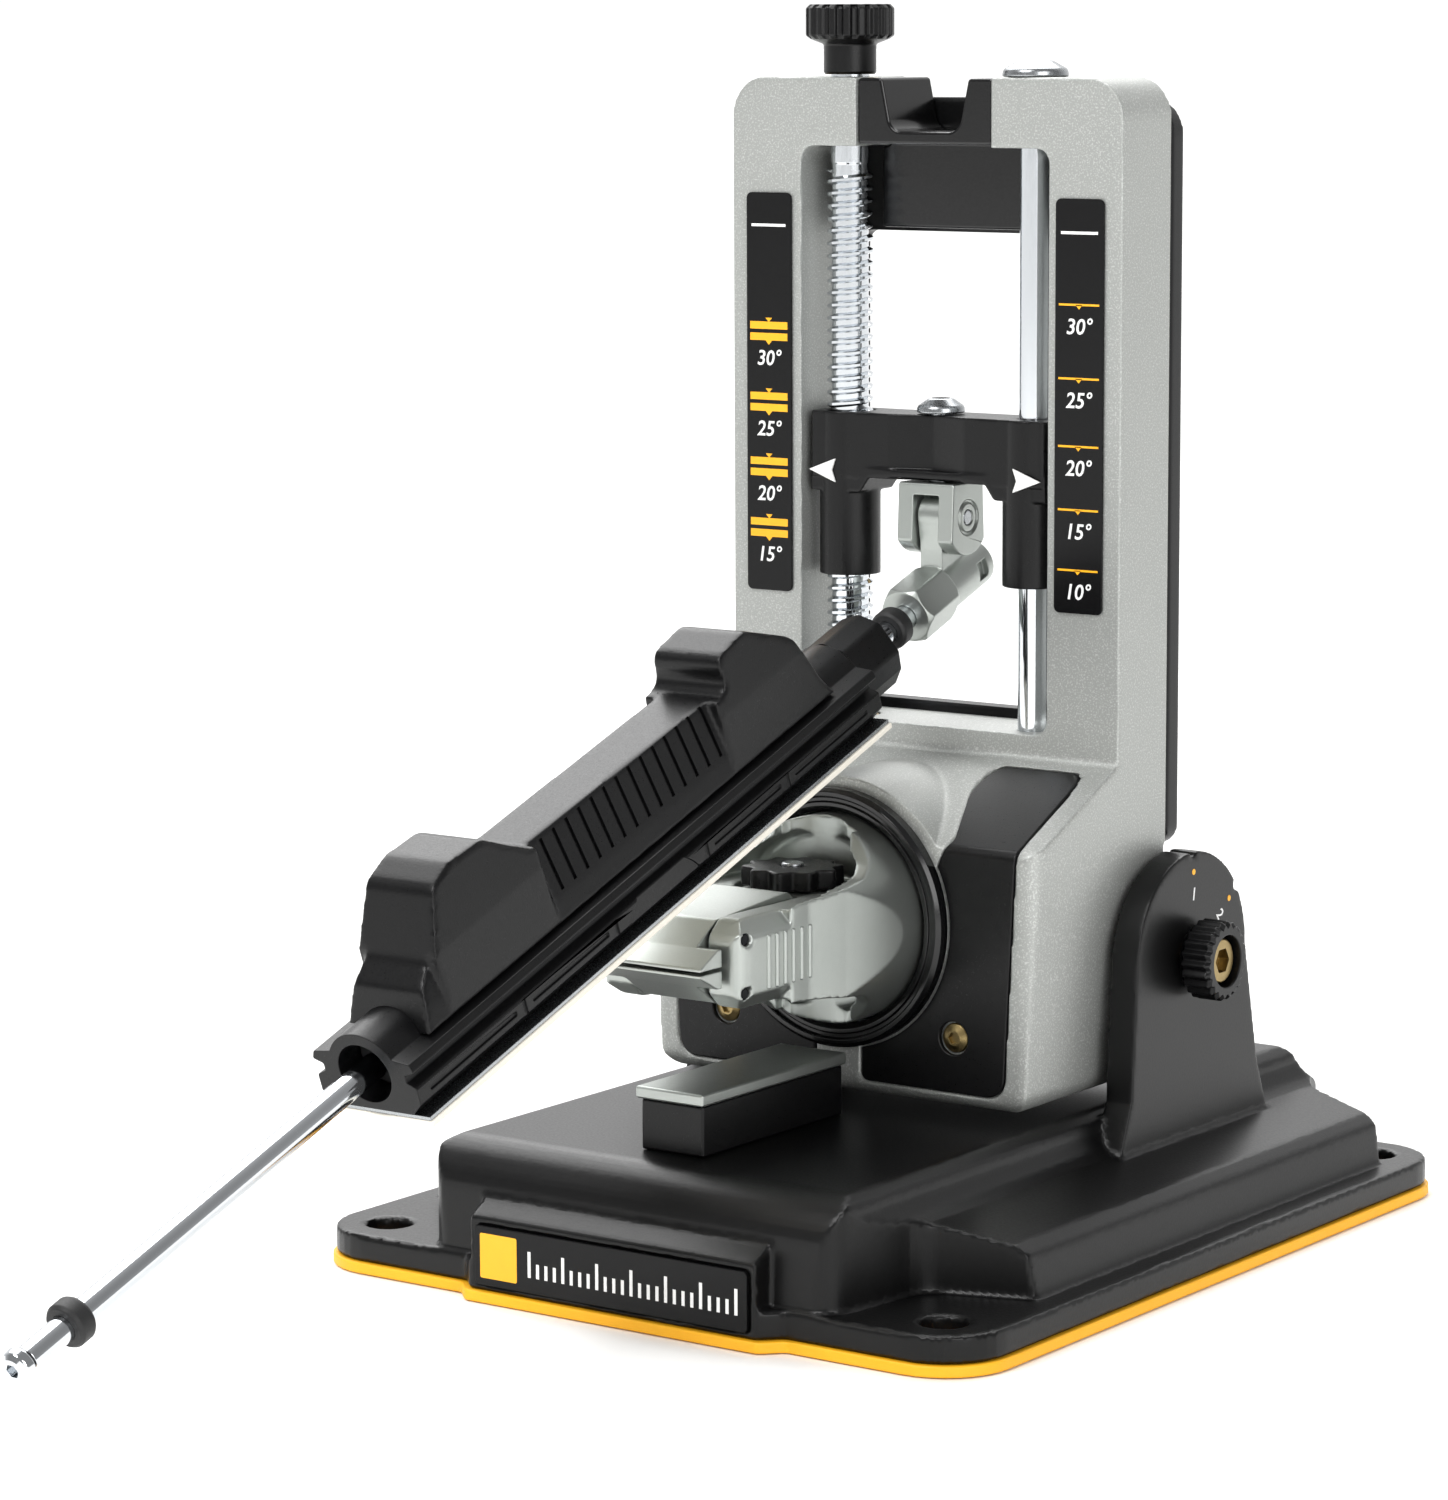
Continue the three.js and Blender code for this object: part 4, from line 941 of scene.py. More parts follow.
@dataclass
class Tower:
    """The tilting tower: frame, cover, cradle, trims, rod and drum ring."""

    half: float = 46.2
    front: float = 9.4
    back: float = 28.0
    top: float = 230.3
    bottom: float = 31.2
    window_half: float = 29.4
    window_low: float = 101.0
    window_high: float = 216.5
    notch_half: float = 16.0
    cover_back: float = 32.6
    face: float = -20.5
    shoulder: float = 82.5
    slope_top: float = 96.5
    hood: float = 28.0
    slide_x: float = 22.0
    slide_y: float = 16.3
    drum_z: float = 66.5
    drum: float = 20.8
    ring: float = 25.9
    screw_x: float = 27.2
    screw_z: float = 45.0

    def housing(self) -> Solid:
        """The wide lower block with its sloping shoulder."""
        w = self.half
        profile = prism(Axis.X, [
            (self.front, self.window_low), (self.front, self.slope_top, 1.5), (self.face, self.shoulder, 3),
            (self.face, self.bottom, 4), (self.back, self.bottom, 5), (self.back, self.window_low),
        ], -w, w)
        face = prism(Axis.Y, [
            (-w, self.window_low), (-w, self.shoulder), (-w + 2.6, self.bottom, 5),
            (w - 2.6, self.bottom, 5), (w, self.shoulder), (w, self.window_low),
        ], -40, 40)
        plan = prism(Axis.Z, [(-w, self.face, 4), (w, self.face, 4), (w, self.back), (-w, self.back)], 0, 120)
        return profile.meet(face).meet(plan)

    def window(self, margin: float, low: float, high: float) -> list[Corner]:
        """The window's outline with a margin."""
        half = self.window_half + margin
        return [(-half, low, 3), (half, low, 3), (half, high, 3), (-half, high, 3)]

    def trim_outline(self, margin: float) -> list[Corner]:
        """The right trim's outline from the front, running in under the drum ring."""
        m = margin
        return [
            (5.6 - m, 34.2 - m, 1.5), (38.6 + m, 34.2 - m, 4), (41.2 + m, self.shoulder, 2),
            (40.6 + m, 94.6 + m, 3), (16.2 - m, 94.6 + m, 3), (25.6 - m, self.shoulder + 1.2, 1),
            (18, 66), (5.6 - m, 50),
        ]

    def band(self, near: float, far: float) -> Solid:
        """A bent skin that follows the housing's front between two depths."""
        def bend(d: float) -> list[Corner]:
            """One face of the skin at a depth."""
            return [(self.face + d, 20), (self.face + d, self.shoulder - 0.2 * d, 2.5),
                    (self.front + d, self.slope_top - 0.9 * d)]

        return prism(Axis.X, bend(near) + bend(far)[::-1], -60, 60)

    def body(self) -> None:
        """The silver frame, cast in one with its housing and hood."""
        w = self.half
        legs = prism(Axis.Y, [(-w, 90), (w, 90), (w, self.top, 8), (-w, self.top, 8)],
                     self.front, self.back, 12)
        at = (0, 0, self.drum_z)
        hood = cylinder(Axis.Y, self.hood, self.face + 0.4, self.front + 4, at, 96)
        whole = legs.add(self.housing(), hood)
        tools = [
            prism(Axis.Y, self.window(0, self.window_low, self.window_high), 0, 40),
            box(-self.notch_half, self.notch_half, 0, 40, 210, 240),
            cylinder(Axis.Y, self.drum + 0.3, -40, -4, at, 96),
            cylinder(Axis.Y, 15.4, -10, 40, at),
            cylinder(Axis.Y, 18, 11.9, 40, at),
            cylinder(Axis.Z, 5.95, 90, 104, (-self.slide_x, self.slide_y, 0)),
            cylinder(Axis.Z, 5.95, 210, 240, (-self.slide_x, self.slide_y, 0)),
            cylinder(Axis.Z, 3.05, 94, 240, (self.slide_x, self.slide_y, 0)),
        ]
        for sense in (1, -1):
            pocket = prism(Axis.Y, flipped(self.trim_outline(0.25), sense), -40, 20).meet(self.band(-4, 1.3))
            tools.append(pocket.cut(cylinder(Axis.Y, self.ring - 1, -40, 40, at, 96)))
            low, high = sorted((sense * 37, sense * 50))
            tools.append(cylinder(Axis.X, 3.3, low, high, (0, 26.4, 56.6)))
            tools.append(cylinder(Axis.Y, 1.7, -30, -12, (sense * self.screw_x, 0, self.screw_z)))
            tools.append(cylinder(Axis.Y, 1.7, 18, 40, (sense * 38, 0, 150)))
        whole.cut(*tools).melt(0.5, 5, 0.4)
        dress(whole, "tower_body", SILVER_PAINT, "tower", ["tower_frame"], angle=60)

    def cover(self) -> None:
        """The black back cover with its two recessed screws."""
        w = self.half
        shell = prism(Axis.Y, [(-w, 78, 4), (w, 78, 4), (w, 226, 7), (-w, 226, 7)],
                      self.back + 0.05, self.cover_back)
        tools = [prism(Axis.Y, self.window(-1.5, 103, 199), 20, 40),
                 cylinder(Axis.Y, 19, 0, 40, (0, 0, self.drum_z))]
        for sense in (1, -1):
            tools.append(cylinder(Axis.Y, 1.7, 20, 40, (sense * 38, 0, 150)))
            tools.append(cylinder(Axis.Y, 3.1, self.cover_back - 1.8, 40, (sense * 38, 0, 150)))
        dress(shell.cut(*tools).melt(0.5, 4, 0.4), "rear_cover", NYLON, "tower", ["back_cover"], angle=60)
        for side, sense in (("right", 1), ("left", -1)):
            screw = button_screw(Axis.Y, 1.6, 8, 2.9, 1.6, (sense * 38, self.cover_back - 1.75, 150), 1)
            dress(screw, "cover_screw_" + side, ZINC_STEEL, "tower", ["back_screw_" + side])

    def cradle(self) -> None:
        """The saddle in the top notch that parks the guide arm."""
        half = self.notch_half - 0.1
        back = self.back - 0.05
        saddle = box(-half, half, self.front + 0.6, back, 217, self.top - 0.3)
        neck = box(-half, half, 21.5, back, 200, 217.5)
        lower = box(-17.8, 17.8, 21.5, back, 200, self.window_high - 0.1)
        groove = prism(Axis.Y, [(-8, 219.5, 3), (8, 219.5, 3), (11.5, 236), (-11.5, 236)], 0, 40)
        saddle.add(neck, lower).cut(groove).soften(0.6, 3)
        dress(saddle, "cradle", SMOOTH_NYLON, "tower", ["rod_cradle"])

    def trims(self) -> None:
        """The two dark trims on the housing, with a recessed screw in each."""
        for side, sense in (("right", 1), ("left", -1)):
            body = prism(Axis.Y, flipped(self.trim_outline(0), sense), -40, 20).meet(self.band(0, 1.2))
            body.cut(cylinder(Axis.Y, self.ring + 0.4, -40, 40, (0, 0, self.drum_z), 96),
                     cylinder(Axis.Y, 3.3, -40, 40, (sense * self.screw_x, 0, self.screw_z)))
            dress(body.soften(0.3, 3), "front_trim_" + side, NYLON, "tower", ["trim_" + side])
            seat = (sense * self.screw_x, self.face + 1.25, self.screw_z)
            screw = button_screw(Axis.Y, 1.6, 6, 3, 1.1, seat, -1)
            dress(screw, "housing_screw_" + side, BRONZE, "tower", ["trim_screw_" + side])

    def rod(self) -> None:
        """The crosshead's guide rod and the screw that holds it."""
        low, high = node_box("guide_rod")
        at = (self.slide_x, self.slide_y, 0)
        rod = turned(Axis.Z, [(0, low.z), (3, low.z, 0.4), (3, high.z, 0.4), (0, high.z)], at)
        dress(rod, "slide_rod", CHROME, "tower", ["guide_rod"])
        screw = button_screw(Axis.Z, 2.6, 4, 6.6, 3.2, (self.slide_x, self.slide_y, self.top + 0.05))
        dress(screw, "slide_rod_screw", ZINC_STEEL, "tower", ["guide_rod_screw"])

    def drum_parts(self) -> None:
        """The stepped black ring round the drum and the bush behind it."""
        low, high = node_box("drum_ring")
        r0, r1, y0, y1 = self.drum + 0.4, self.ring, low.y, high.y
        ring = turned(Axis.Y, [
            (r0, y1), (r0, y0 + 1.6, 0.3), (r0 + 1.0, y0 + 0.5, 0.3), (r0 + 1.8, y0 + 0.5, 0.2),
            (r0 + 2.0, y0 + 0.9, 0.15), (r0 + 2.7, y0 + 0.9, 0.15), (r0 + 3.0, y0, 0.3), (r1 - 0.7, y0, 0.4),
            (r1, y0 + 0.8, 0.3), (r1, y1),
        ], (0, 0, self.drum_z), 128)
        dress(ring, "drum_collar", SMOOTH_NYLON, "tower", ["drum_ring"])
        low, high = node_box("drum_bush")
        bush = turned(Axis.Y, [(14.15, low.y), (15.3, low.y), (15.3, high.y), (14.15, high.y)],
                      (0, 0, self.drum_z))
        dress(bush, "drum_sleeve", BRONZE, "tower", ["drum_bush"])
        for end in ("top", "bottom"):
            low, high = node_box("screw_bush_" + end)
            bush = turned(Axis.Z, [(4.85, low.z), (5.85, low.z, 0.1), (5.85, high.z, 0.1), (4.85, high.z)],
                          (-self.slide_x, self.slide_y, 0))
            dress(bush, "lead_bush_" + end, BRONZE, "tower", ["screw_bush_" + end])

    def build(self) -> None:
        """Makes every piece of the tower."""
        self.body()
        self.cover()
        self.cradle()
        self.trims()
        self.rod()
        self.drum_parts()


@dataclass
class Scales:
    """The two angle labels, with marks that follow the tangent of the angle."""

    reach: float = 129.5
    left_zero: float = 104.2
    right_zero: float = 111.7

    def mark(self, x0: float, x1: float, z: float, high: float, face: float) -> Solid:
        """One printed bar."""
        return box(x0, x1, face - 0.03, face + 0.05, z - high / 2, z + high / 2)

    def arrow(self, x: float, z: float, size: float, face: float) -> Solid:
        """A small triangle that points down from a bar."""
        return prism(Axis.Y, [(x - size, z), (x, z - size * 1.1), (x + size, z)], face - 0.03, face + 0.05)

    def label(self, side: str, sense: int) -> None:
        """One label with its bars and numbers.

        Args:
            side: "right" or "left".
            sense: 1 for right, -1 for left.
        """
        low, high = node_box("scale_" + side)
        face = low.y
        x0, x1 = low.x + 0.9, high.x - 0.9
        middle = (x0 + x1) / 2
        plate = prism(Axis.Y, [
            (low.x, low.z, 1.2), (high.x, low.z, 1.2), (high.x, high.z, 1.2), (low.x, high.z, 1.2),
        ], low.y, high.y).soften(0.15, 2)
        marks = [(plate, LABEL_FILM), (self.mark(x0 + 0.4, x1 - 0.4, 200.4, 0.55, face), WHITE_INK)]
        angles = (10, 15, 20, 25, 30) if sense > 0 else (15, 20, 25, 30)
        zero = self.right_zero if sense > 0 else self.left_zero
        for angle in angles:
            z = zero + self.reach * math.tan(math.radians(angle))
            if sense > 0:
                marks.append((self.mark(x0, x1, z, 0.4, face), AMBER_INK))
                marks.append((self.arrow(middle, z, 0.8, face), AMBER_INK))
            else:
                marks.append((self.mark(x0, x1, z + 1.15, 1.5, face), AMBER_INK))
                marks.append((self.mark(x0, x1, z - 1.15, 1.5, face), AMBER_INK))
                marks.append((self.arrow(middle, z + 2.7, 0.8, face), AMBER_INK))
                marks.append((self.arrow(middle, z - 1.9, 0.8, face), AMBER_INK))
            numeral = lettering(f"{angle}°", 4.3, 0.08)
            numeral.move(Matrix.Translation((middle, face, z - (4.4 if sense > 0 else 5.6))) @ FACING_FRONT)
            marks.append((numeral, WHITE_INK))
        printed(marks, "angle_label_" + side, "tower", ["scale_" + side])

    def build(self) -> None:
        """Makes both labels."""
        self.label("right", 1)
        self.label("left", -1)


# ------------------------------------------------------------------ height drive

@dataclass
class HeightDrive:
    """The threaded screw with its knob, and the crosshead that it lifts."""

    slide_x: float = 22.0
    slide_y: float = 16.3
    thread: float = 4.7
    root: float = 3.75
    pitch: float = 2.5
    thread_low: float = 91.4
    thread_high: float = 211.5
    half: float = 28.0
    low: float = 150.0
    high: float = 163.2
    front: float = 10.4
    back: float = 23.0
    sleeve: float = 6.2
    sleeve_low: float = 129.8

    def helix(self, segments: int = 36) -> Solid:
        """The threaded length, with rows of points that follow the helix.

        Args:
            segments: steps round one turn.

        Returns:
            The threaded bar.
        """
        root, thread = self.root, self.thread
        crest = ((0.0, root), (0.22, root), (0.42, thread), (0.62, thread), (0.84, root))
        low, high = self.thread_low, self.thread_high
        turns = int((high - low) / self.pitch) + 3
        form = bmesh.new()
        columns = []
        for k in range(segments):
            angle = 2 * math.pi * k / segments
            column = []
            for turn in range(turns):
                for share, radius in crest:
                    z = low + self.pitch * (turn - 1 + share + k / segments)
                    reach = radius if low < z < high else root
                    place = (reach * math.cos(angle), reach * math.sin(angle), min(max(z, low), high))
                    column.append(form.verts.new(place))
            columns.append(column)
        rows = len(columns[0])
        for k in range(segments):
            one = columns[k]
            last = k == segments - 1
            two = columns[(k + 1) % segments]
            skip = len(crest) if last else 0
            for row in range(rows - 1):
                over = row + skip
                if over + 1 >= rows:
                    ends = (two[-1], two[-1])
                else:
                    ends = (two[over], two[over + 1])
                loop = list(dict.fromkeys((one[row], ends[0], ends[1], one[row + 1])))
                if len(loop) > 2:
                    form.faces.new(loop)
        bottom = [column[0] for column in columns]
        top = [column[-1] for column in columns]
        form.faces.new(bottom[::-1])
        form.faces.new(top)
        bmesh.ops.remove_doubles(form, verts=form.verts, dist=1e-4)
        bmesh.ops.dissolve_degenerate(form, edges=form.edges, dist=1e-4)
        return Solid(form)

    def screw(self) -> None:
        """The lead screw: thread, plain ends and neck."""
        at = (-self.slide_x, self.slide_y, 0)
        low, high = node_box("lead_screw")
        thread = self.helix().shift(-self.slide_x, self.slide_y)
        start, end = self.thread_low, self.thread_high
        foot = turned(Axis.Z, [(0, low.z), (3.7, low.z, 0.3), (3.7, start + 1), (0, start + 1)], at)
        neck = turned(Axis.Z, [
            (0, end - 1), (3.7, end - 1), (3.7, end + 1.2, 0.3), (3.9, end + 1.6, 0.2), (3.9, high.z, 0.3),
            (0, high.z),
        ], at)
        dress(thread.add(foot, neck), "height_screw", CHROME, "height_screw", ["lead_screw"], angle=28)

    def knob(self) -> None:
        """The fluted height knob on its collar."""
        low, high = node_box("height_knob")
        z0, z1 = low.z, high.z

        def flutes(radius: float, height: float, angle: float) -> float:
            """Square-sided flutes round the head, none on the collar."""
            if radius < 8.0:
                return radius
            wave = math.cos(18 * angle)
            return radius - 0.55 * (0.5 - 0.5 * math.tanh(3.5 * (wave + 0.2)))

        knob = turned(Axis.Z, [
            (4, z0), (5.0, z0, 0.2), (5.3, z0 + 0.5, 0.3), (5.3, z0 + 6, 0.6), (7.9, z0 + 7, 0.3),
            (8.9, z0 + 7.7, 0.6),
            (8.9, z1 - 0.8, 0.6), (8.1, z1, 0.3), (6.4, z1, 0.2), (6.1, z1 - 0.5, 0.2), (4, z1 - 0.5),
        ], (-self.slide_x, self.slide_y, 0), 288, flutes)
        dress(knob, "height_knob_grip", NYLON, "height_screw", ["height_knob"], angle=40)

    def crosshead(self) -> None:
        """The black beam with its two sleeves and vee front."""
        half, low, high, front, back = self.half, self.low, self.high, self.front, self.back
        beam = prism(Axis.Z, [
            (-half, front, 1.2), (-9, front + 0.6, 4), (0, front + 3, 2), (9, front + 0.6, 4),
            (half, front, 1.2), (half, back, 1.2), (-half, back, 1.2),
        ], low, high)
        web = prism(Axis.Y, [
            (-half, low - 3), (-16, low - 3, 1), (-13.5, low + 0.5, 1), (13.5, low + 0.5, 1),
            (16, low - 3, 1), (half, low - 3), (half, low + 2), (-half, low + 2),
        ], front + 0.4, back - 0.4)
        sleeves = [cylinder(Axis.Z, self.sleeve, self.sleeve_low, high, (x, self.slide_y, 0), 96)
                   for x in (-self.slide_x, self.slide_x)]
        whole = beam.add(web, *sleeves)
        left, right = (-self.slide_x, self.slide_y, 0), (self.slide_x, self.slide_y, 0)
        whole.cut(cylinder(Axis.Z, self.thread + 0.3, 120, 170, left), cylinder(Axis.Z, 3.3, 120, 170, right),
                  cylinder(Axis.Z, 5.9, 120, self.sleeve_low + 9, left),
                  cylinder(Axis.Z, 4.8, 120, self.sleeve_low + 9, right),
                  cylinder(Axis.Z, 2.7, 140, 170, (0, self.slide_y, 0)))
        dress(whole.melt(0.25, 3), "crosshead_bar", NYLON, "crosshead", ["crosshead"], angle=60)
        for node, reach, x in (("lead_nut", self.thread, -self.slide_x), ("slide_bush", 3.0, self.slide_x)):
            low_v, high_v = node_box(node)
            outer = (high_v.x - low_v.x) / 2
            bush = turned(Axis.Z, [(reach + 0.1, low_v.z), (outer, low_v.z, 0.1), (outer, high_v.z, 0.1),
                                   (reach + 0.1, high_v.z)], (x, self.slide_y, 0))
            dress(bush, node + "_sleeve", BRONZE, "crosshead", [node])

    def pointers(self) -> None:
        """The two white arrow heads."""
        for side, sense in (("right", 1), ("left", -1)):
            low, high = node_box("pointer_" + side)
            z = (low.z + high.z) / 2
            tip, tail = (high.x, low.x) if sense > 0 else (low.x, high.x)
            outline = [(tip, z), (tail, high.z), (tail + sense * 0.9, z), (tail, low.z)]
            arrow = prism(Axis.Y, outline, low.y, high.y).soften(0.12, 2)
            dress(arrow, "arrow_" + side, WHITE_ABS, "crosshead", ["pointer_" + side])

    def build(self) -> None:
        """Makes every piece of the height drive."""
        self.screw()
        self.knob()
        self.crosshead()
        self.pointers()


# ------------------------------------------------------------------ guide rod and stone holder

@dataclass
class GuideRod:
    """The swivelling guide rod with its joint, O-rings and stone holder."""

    hinge_y: float = 16.3
    hinge_z: float = 142.7
    tilt: float = 20.36
    drop: float = 13.6
    end: float = 291.0
    head_high: float = 163.2
    head_low: float = 150.0
    start: float = 33.5
    rail: float = 47.0
    rail_end: float = 199.5
    half: float = 11.2
    crest: float = 7.9
    bottom: float = 7.2
    bore: float = 5.7
    plate_half: float = 12.6
    plate_end: float = 9.2

    def placed(self, solid: Solid) -> Solid:
        """Moves a solid from the rod's own frame to its place."""
        place = Matrix.Translation((0, self.hinge_y, self.hinge_z))
        return solid.move(place @ Matrix.Rotation(math.radians(self.tilt), 4, "X"))

    def along(self, corners: Sequence[Corner], near: float, far: float, steps: int = 8) -> Solid:
        """Pushes an (x, z) outline about the rod's line from near to far."""
        return prism(Axis.Y, corners, -far, -near, steps).shift(z=-self.drop)

    def bar(self, profile: Sequence[Corner], segments: int = 64) -> Solid:
        """Turns a (radius, distance) profile about the rod's line."""
        flipped_profile = [(c[0], -c[1], *c[2:]) for c in profile]
        return turned(Axis.Y, flipped_profile, (0, 0, -self.drop), segments)

    def clevis(self) -> None:
        """The swivelling fork under the crosshead, its screw and its pin."""
        y, z, top = self.hinge_y, self.hinge_z, self.head_low - 0.3
        arc = [(y + 7.6 * math.cos(a), z + 7.6 * math.sin(a))
               for a in (math.radians(-142 + 104 * k / 24) for k in range(25))]
        block = prism(Axis.X, [(y - 5.4, top, 0.6), *arc, (y + 5.4, top, 0.6)], -6.6, 6.6)
        cuts = [box(-3, 3, 0, 40, 120, 147.2), cylinder(Axis.X, 1.6, -10, 10, (0, y, z)),
                cylinder(Axis.Z, 2.45, 140, 152, (0, y, 0))]
        for sense in (1, -1):
            low, high = sorted((sense * 6.15, sense * 8))
            cuts.append(turned(Axis.X, [(2.9, low), (3.6, low), (3.6, high), (2.9, high)], (0, y, z)))
        block.cut(*cuts).soften(0.35, 3)
        dress(block, "fork", SATIN_NICKEL, "swivel", ["clevis"])
        screw = button_screw(Axis.Z, 2.4, 15.4, 4.9, 2.9, (0, y, self.head_high + 0.3))
        dress(screw, "fork_screw", ZINC_STEEL, "swivel", ["swivel_screw"])
        low, high = node_box("hinge_pin")
        pin = turned(Axis.X, [(0, low.x), (1.5, low.x, 0.3), (1.5, high.x, 0.3), (0, high.x)], (0, y, z))
        dress(pin, "fork_pin", ZINC_STEEL, "swivel", ["hinge_pin"])

    def knuckle(self) -> None:
        """The cast knuckle: eye, web, barrel with windows, and hexagon collar."""
        d = self.drop
        eye = cylinder(Axis.X, 4.5, -2.6, 2.6)
        web = prism(Axis.X, [
            (-4.4, 0.6, 1), (4.4, 0.6, 1), (4.9, -5, 3), (6.2, -d), (-8.5, -d), (-5.6, -5, 3),
        ], -2.6, 2.6)
        barrel = self.bar([(0, -8), (4.6, -8, 0.3), (5.1, -7.4, 0.3), (5.1, 7.2), (0, 7.2)])
        hexagon = self.bar([(0, 7), (6.3, 7), (6.3, 18.6), (0, 18.6)], 6)
        round_ends = self.bar([
            (0, 6), (5.3, 6.4), (6.2, 8, 1), (6.2, 17.6, 0.6), (5.2, 18.8, 0.3), (0, 18.8),
        ])
        whole = eye.add(web, barrel, hexagon.meet(round_ends))
        window = self.along([(3.6, -1.9, 0.3), (7, -1.9, 0.3), (7, 1.9, 0.3), (3.6, 1.9, 0.3)], -5.4, -2.2)
        other = self.along([(-7, -1.9, 0.3), (-3.6, -1.9, 0.3), (-3.6, 1.9, 0.3), (-7, 1.9, 0.3)], -5.4, -2.2)
        bore = self.bar([(0, 3), (2.45, 3), (2.45, 30), (0, 30)])
        whole.cut(cylinder(Axis.X, 1.65, -10, 10), bore, window, other)
        dress(self.placed(whole.melt(0.16, 3)), "rod_knuckle", SATIN_NICKEL, "arm", ["knuckle"], angle=60)

    def rod(self) -> None:
        """The long chromed rod with its end screw and two O-rings."""
        rod = self.bar([(0, 3.6), (2.4, 3.6, 0.2), (2.4, self.end, 0.3), (0, self.end)], 96)
        dress(self.placed(rod), "long_rod", CHROME, "arm", ["guide_arm"])
        for node, at in (("o_ring_upper", 21.7), ("o_ring_lower", 277.4)):
            ring = self.bar([(2.45, at), (3.6, at, 0.4), (4.1, at + 0.7, 0.6), (4.1, at + 3.3, 0.6),
                             (3.6, at + 4, 0.4), (2.45, at + 4)])
            dress(self.placed(ring), node + "_seal", NITRILE, "arm", [node])
        tip = self.end + 0.05
        screw = self.bar([
            (0, tip), (2.7, tip, 0.2), (3.2, tip + 0.9, 0.5), (3, tip + 2.4, 0.8), (2, tip + 3.15, 0.5),
            (0, tip + 3.15),
        ])
        socket = self.bar([(0, tip + 1.4), (1.3, tip + 1.4), (1.3, tip + 6), (0, tip + 6)], 6)
        dress(self.placed(screw.cut(socket).soften(0.1, 2)), "rod_end_screw", CHROME, "arm", ["end_screw"])

    def section(self) -> list[Corner]:
        """The holder's rail, looking along the rod."""
        half, low = self.half, -self.bottom
        arch = [(self.crest * math.cos(a), self.crest * math.sin(a))
                for a in (math.radians(28 + 124 * k / 32) for k in range(33))]
        right = [
            (half - 2.4, low, 0.6), (half, low + 2.4, 0.6), (half, -1.6, 0.5), (half - 2, -0.6, 0.4),
            (half - 2, 0.8, 0.4), (half + 0.2, 1.6, 0.4), (half - 0.4, 3.2, 0.5),
        ]
        return right + arch + mirrored(right)

    def holder_body(self) -> None:
        """The moulded holder: rail, rear boss, finger recess and plate clips."""
        rail = self.along(self.section(), self.rail, self.rail_end)
        boss = self.along([
            (-5.4, -7, 1), (5.4, -7, 1), (7.6, -3.4, 1), (7.9, 0.6, 2), (4.6, 6.4, 2), (0, 7.9, 2),
            (-4.6, 6.4, 2), (-7.9, 0.6, 2), (-7.6, -3.4, 1),
        ], self.start, self.rail + 1)
        cuts = [self.bar([(0, 20), (3.4, 20), (3.4, self.rail_end + 2), (0, self.rail_end + 2)])]
        for near, far in ((self.start, self.start + 17), (self.rail_end - 20, self.rail_end)):
            near, far = near - 0.01, far + 0.01
            cuts.append(self.bar([(0, near), (self.bore, near), (self.bore, far), (0, far)]))
        for at in (85, 160):
            cuts.append(cylinder(Axis.Z, 5.1, -self.drop - 9, -self.drop - 4.2, (0, -at, 0)))
        for sense in (1, -1):
            x0, x1 = sorted((sense * (self.half - 0.45), sense * (self.half + 1)))
            for near, far in ((52, 78), (83, 106), (141, 165), (170, 196)):
                cuts.append(box(x0, x1, -far, -near, -self.drop - 3.7, -self.drop - 2.9))
            for at in (80.5, 108.5, 138.5, 167.5):
                cuts.append(box(x0, x1, -at - 0.5, -at + 0.5, -self.drop - 5.6, -self.drop - 2.0))
            scoop = cylinder(Axis.X, 13.5, x0, x1, (0, -123, -self.drop - 12.4), 96)
            cuts.append(scoop.meet(box(-20, 20, -140, -106, -self.drop - 6.6, -self.drop + 0.2)))
        whole = rail.add(boss).cut(*cuts).soften(0.22, 2)
        dress(self.placed(whole), "stone_carrier", NYLON, "holder", ["holder_body"])

    def grip(self) -> None:
        """The finger grip with two guards and fine ribs on both sides."""
        def n(value: float) -> float:
            """Height above the rod's line in the rod's own frame."""
            return value - self.drop

        outline = prism(Axis.X, [
            (-191.5, n(2)), (-188.5, n(11), 2), (-184.6, n(14.5), 3), (-179, n(26.5), 3.5),
            (-173, n(28.5), 4), (-163.5, n(28), 4), (-158, n(24), 3), (-152, n(20), 3),
            (-87, n(19), 3), (-90, n(26), 2.5),
            (-79, n(27.2), 4), (-66, n(19.6), 6), (-61, n(8.6), 4), (-56.5, n(2)),
        ], -9.4, 9.4)
        wall = [(-9.3, 4), (9.3, 4), (8.6, 8, 2), (5.6, 20.4, 1.2), (-5.6, 20.4, 1.2), (-8.6, 8, 2)]
        guard = [(-9.3, 4), (9.3, 4), (8.8, 16, 4), (7, 32, 2), (-7, 32, 2), (-8.8, 16, 4)]
        sleeve = self.along(wall, 50, 195).add(self.along(guard, 60, 93), self.along(guard, 151, 184))
        whole = outline.meet(sleeve).melt(0.4, 14, 0.4)
        cuts = [self.bar([(0, 40), (self.crest + 0.05, 40), (self.crest + 0.05, 200), (0, 200)], 96)]
        lean = math.atan2(3.0, 12.4)
        for k in range(16):
            at = 91.0 + 4.0 * k
            for sense in (1, -1):
                rib = box(-0.55, 0.55, -at - 0.45, -at + 0.45, -5.2, 5.2)
                side = Matrix.Translation((sense * 7.05, 0, n(14.0)))
                rib.move(side @ Matrix.Rotation(-sense * lean, 4, "Y"))
                cuts.append(rib)
        dress(self.placed(whole.cut(*cuts)), "holder_handle", NYLON, "holder", ["holder_grip"])

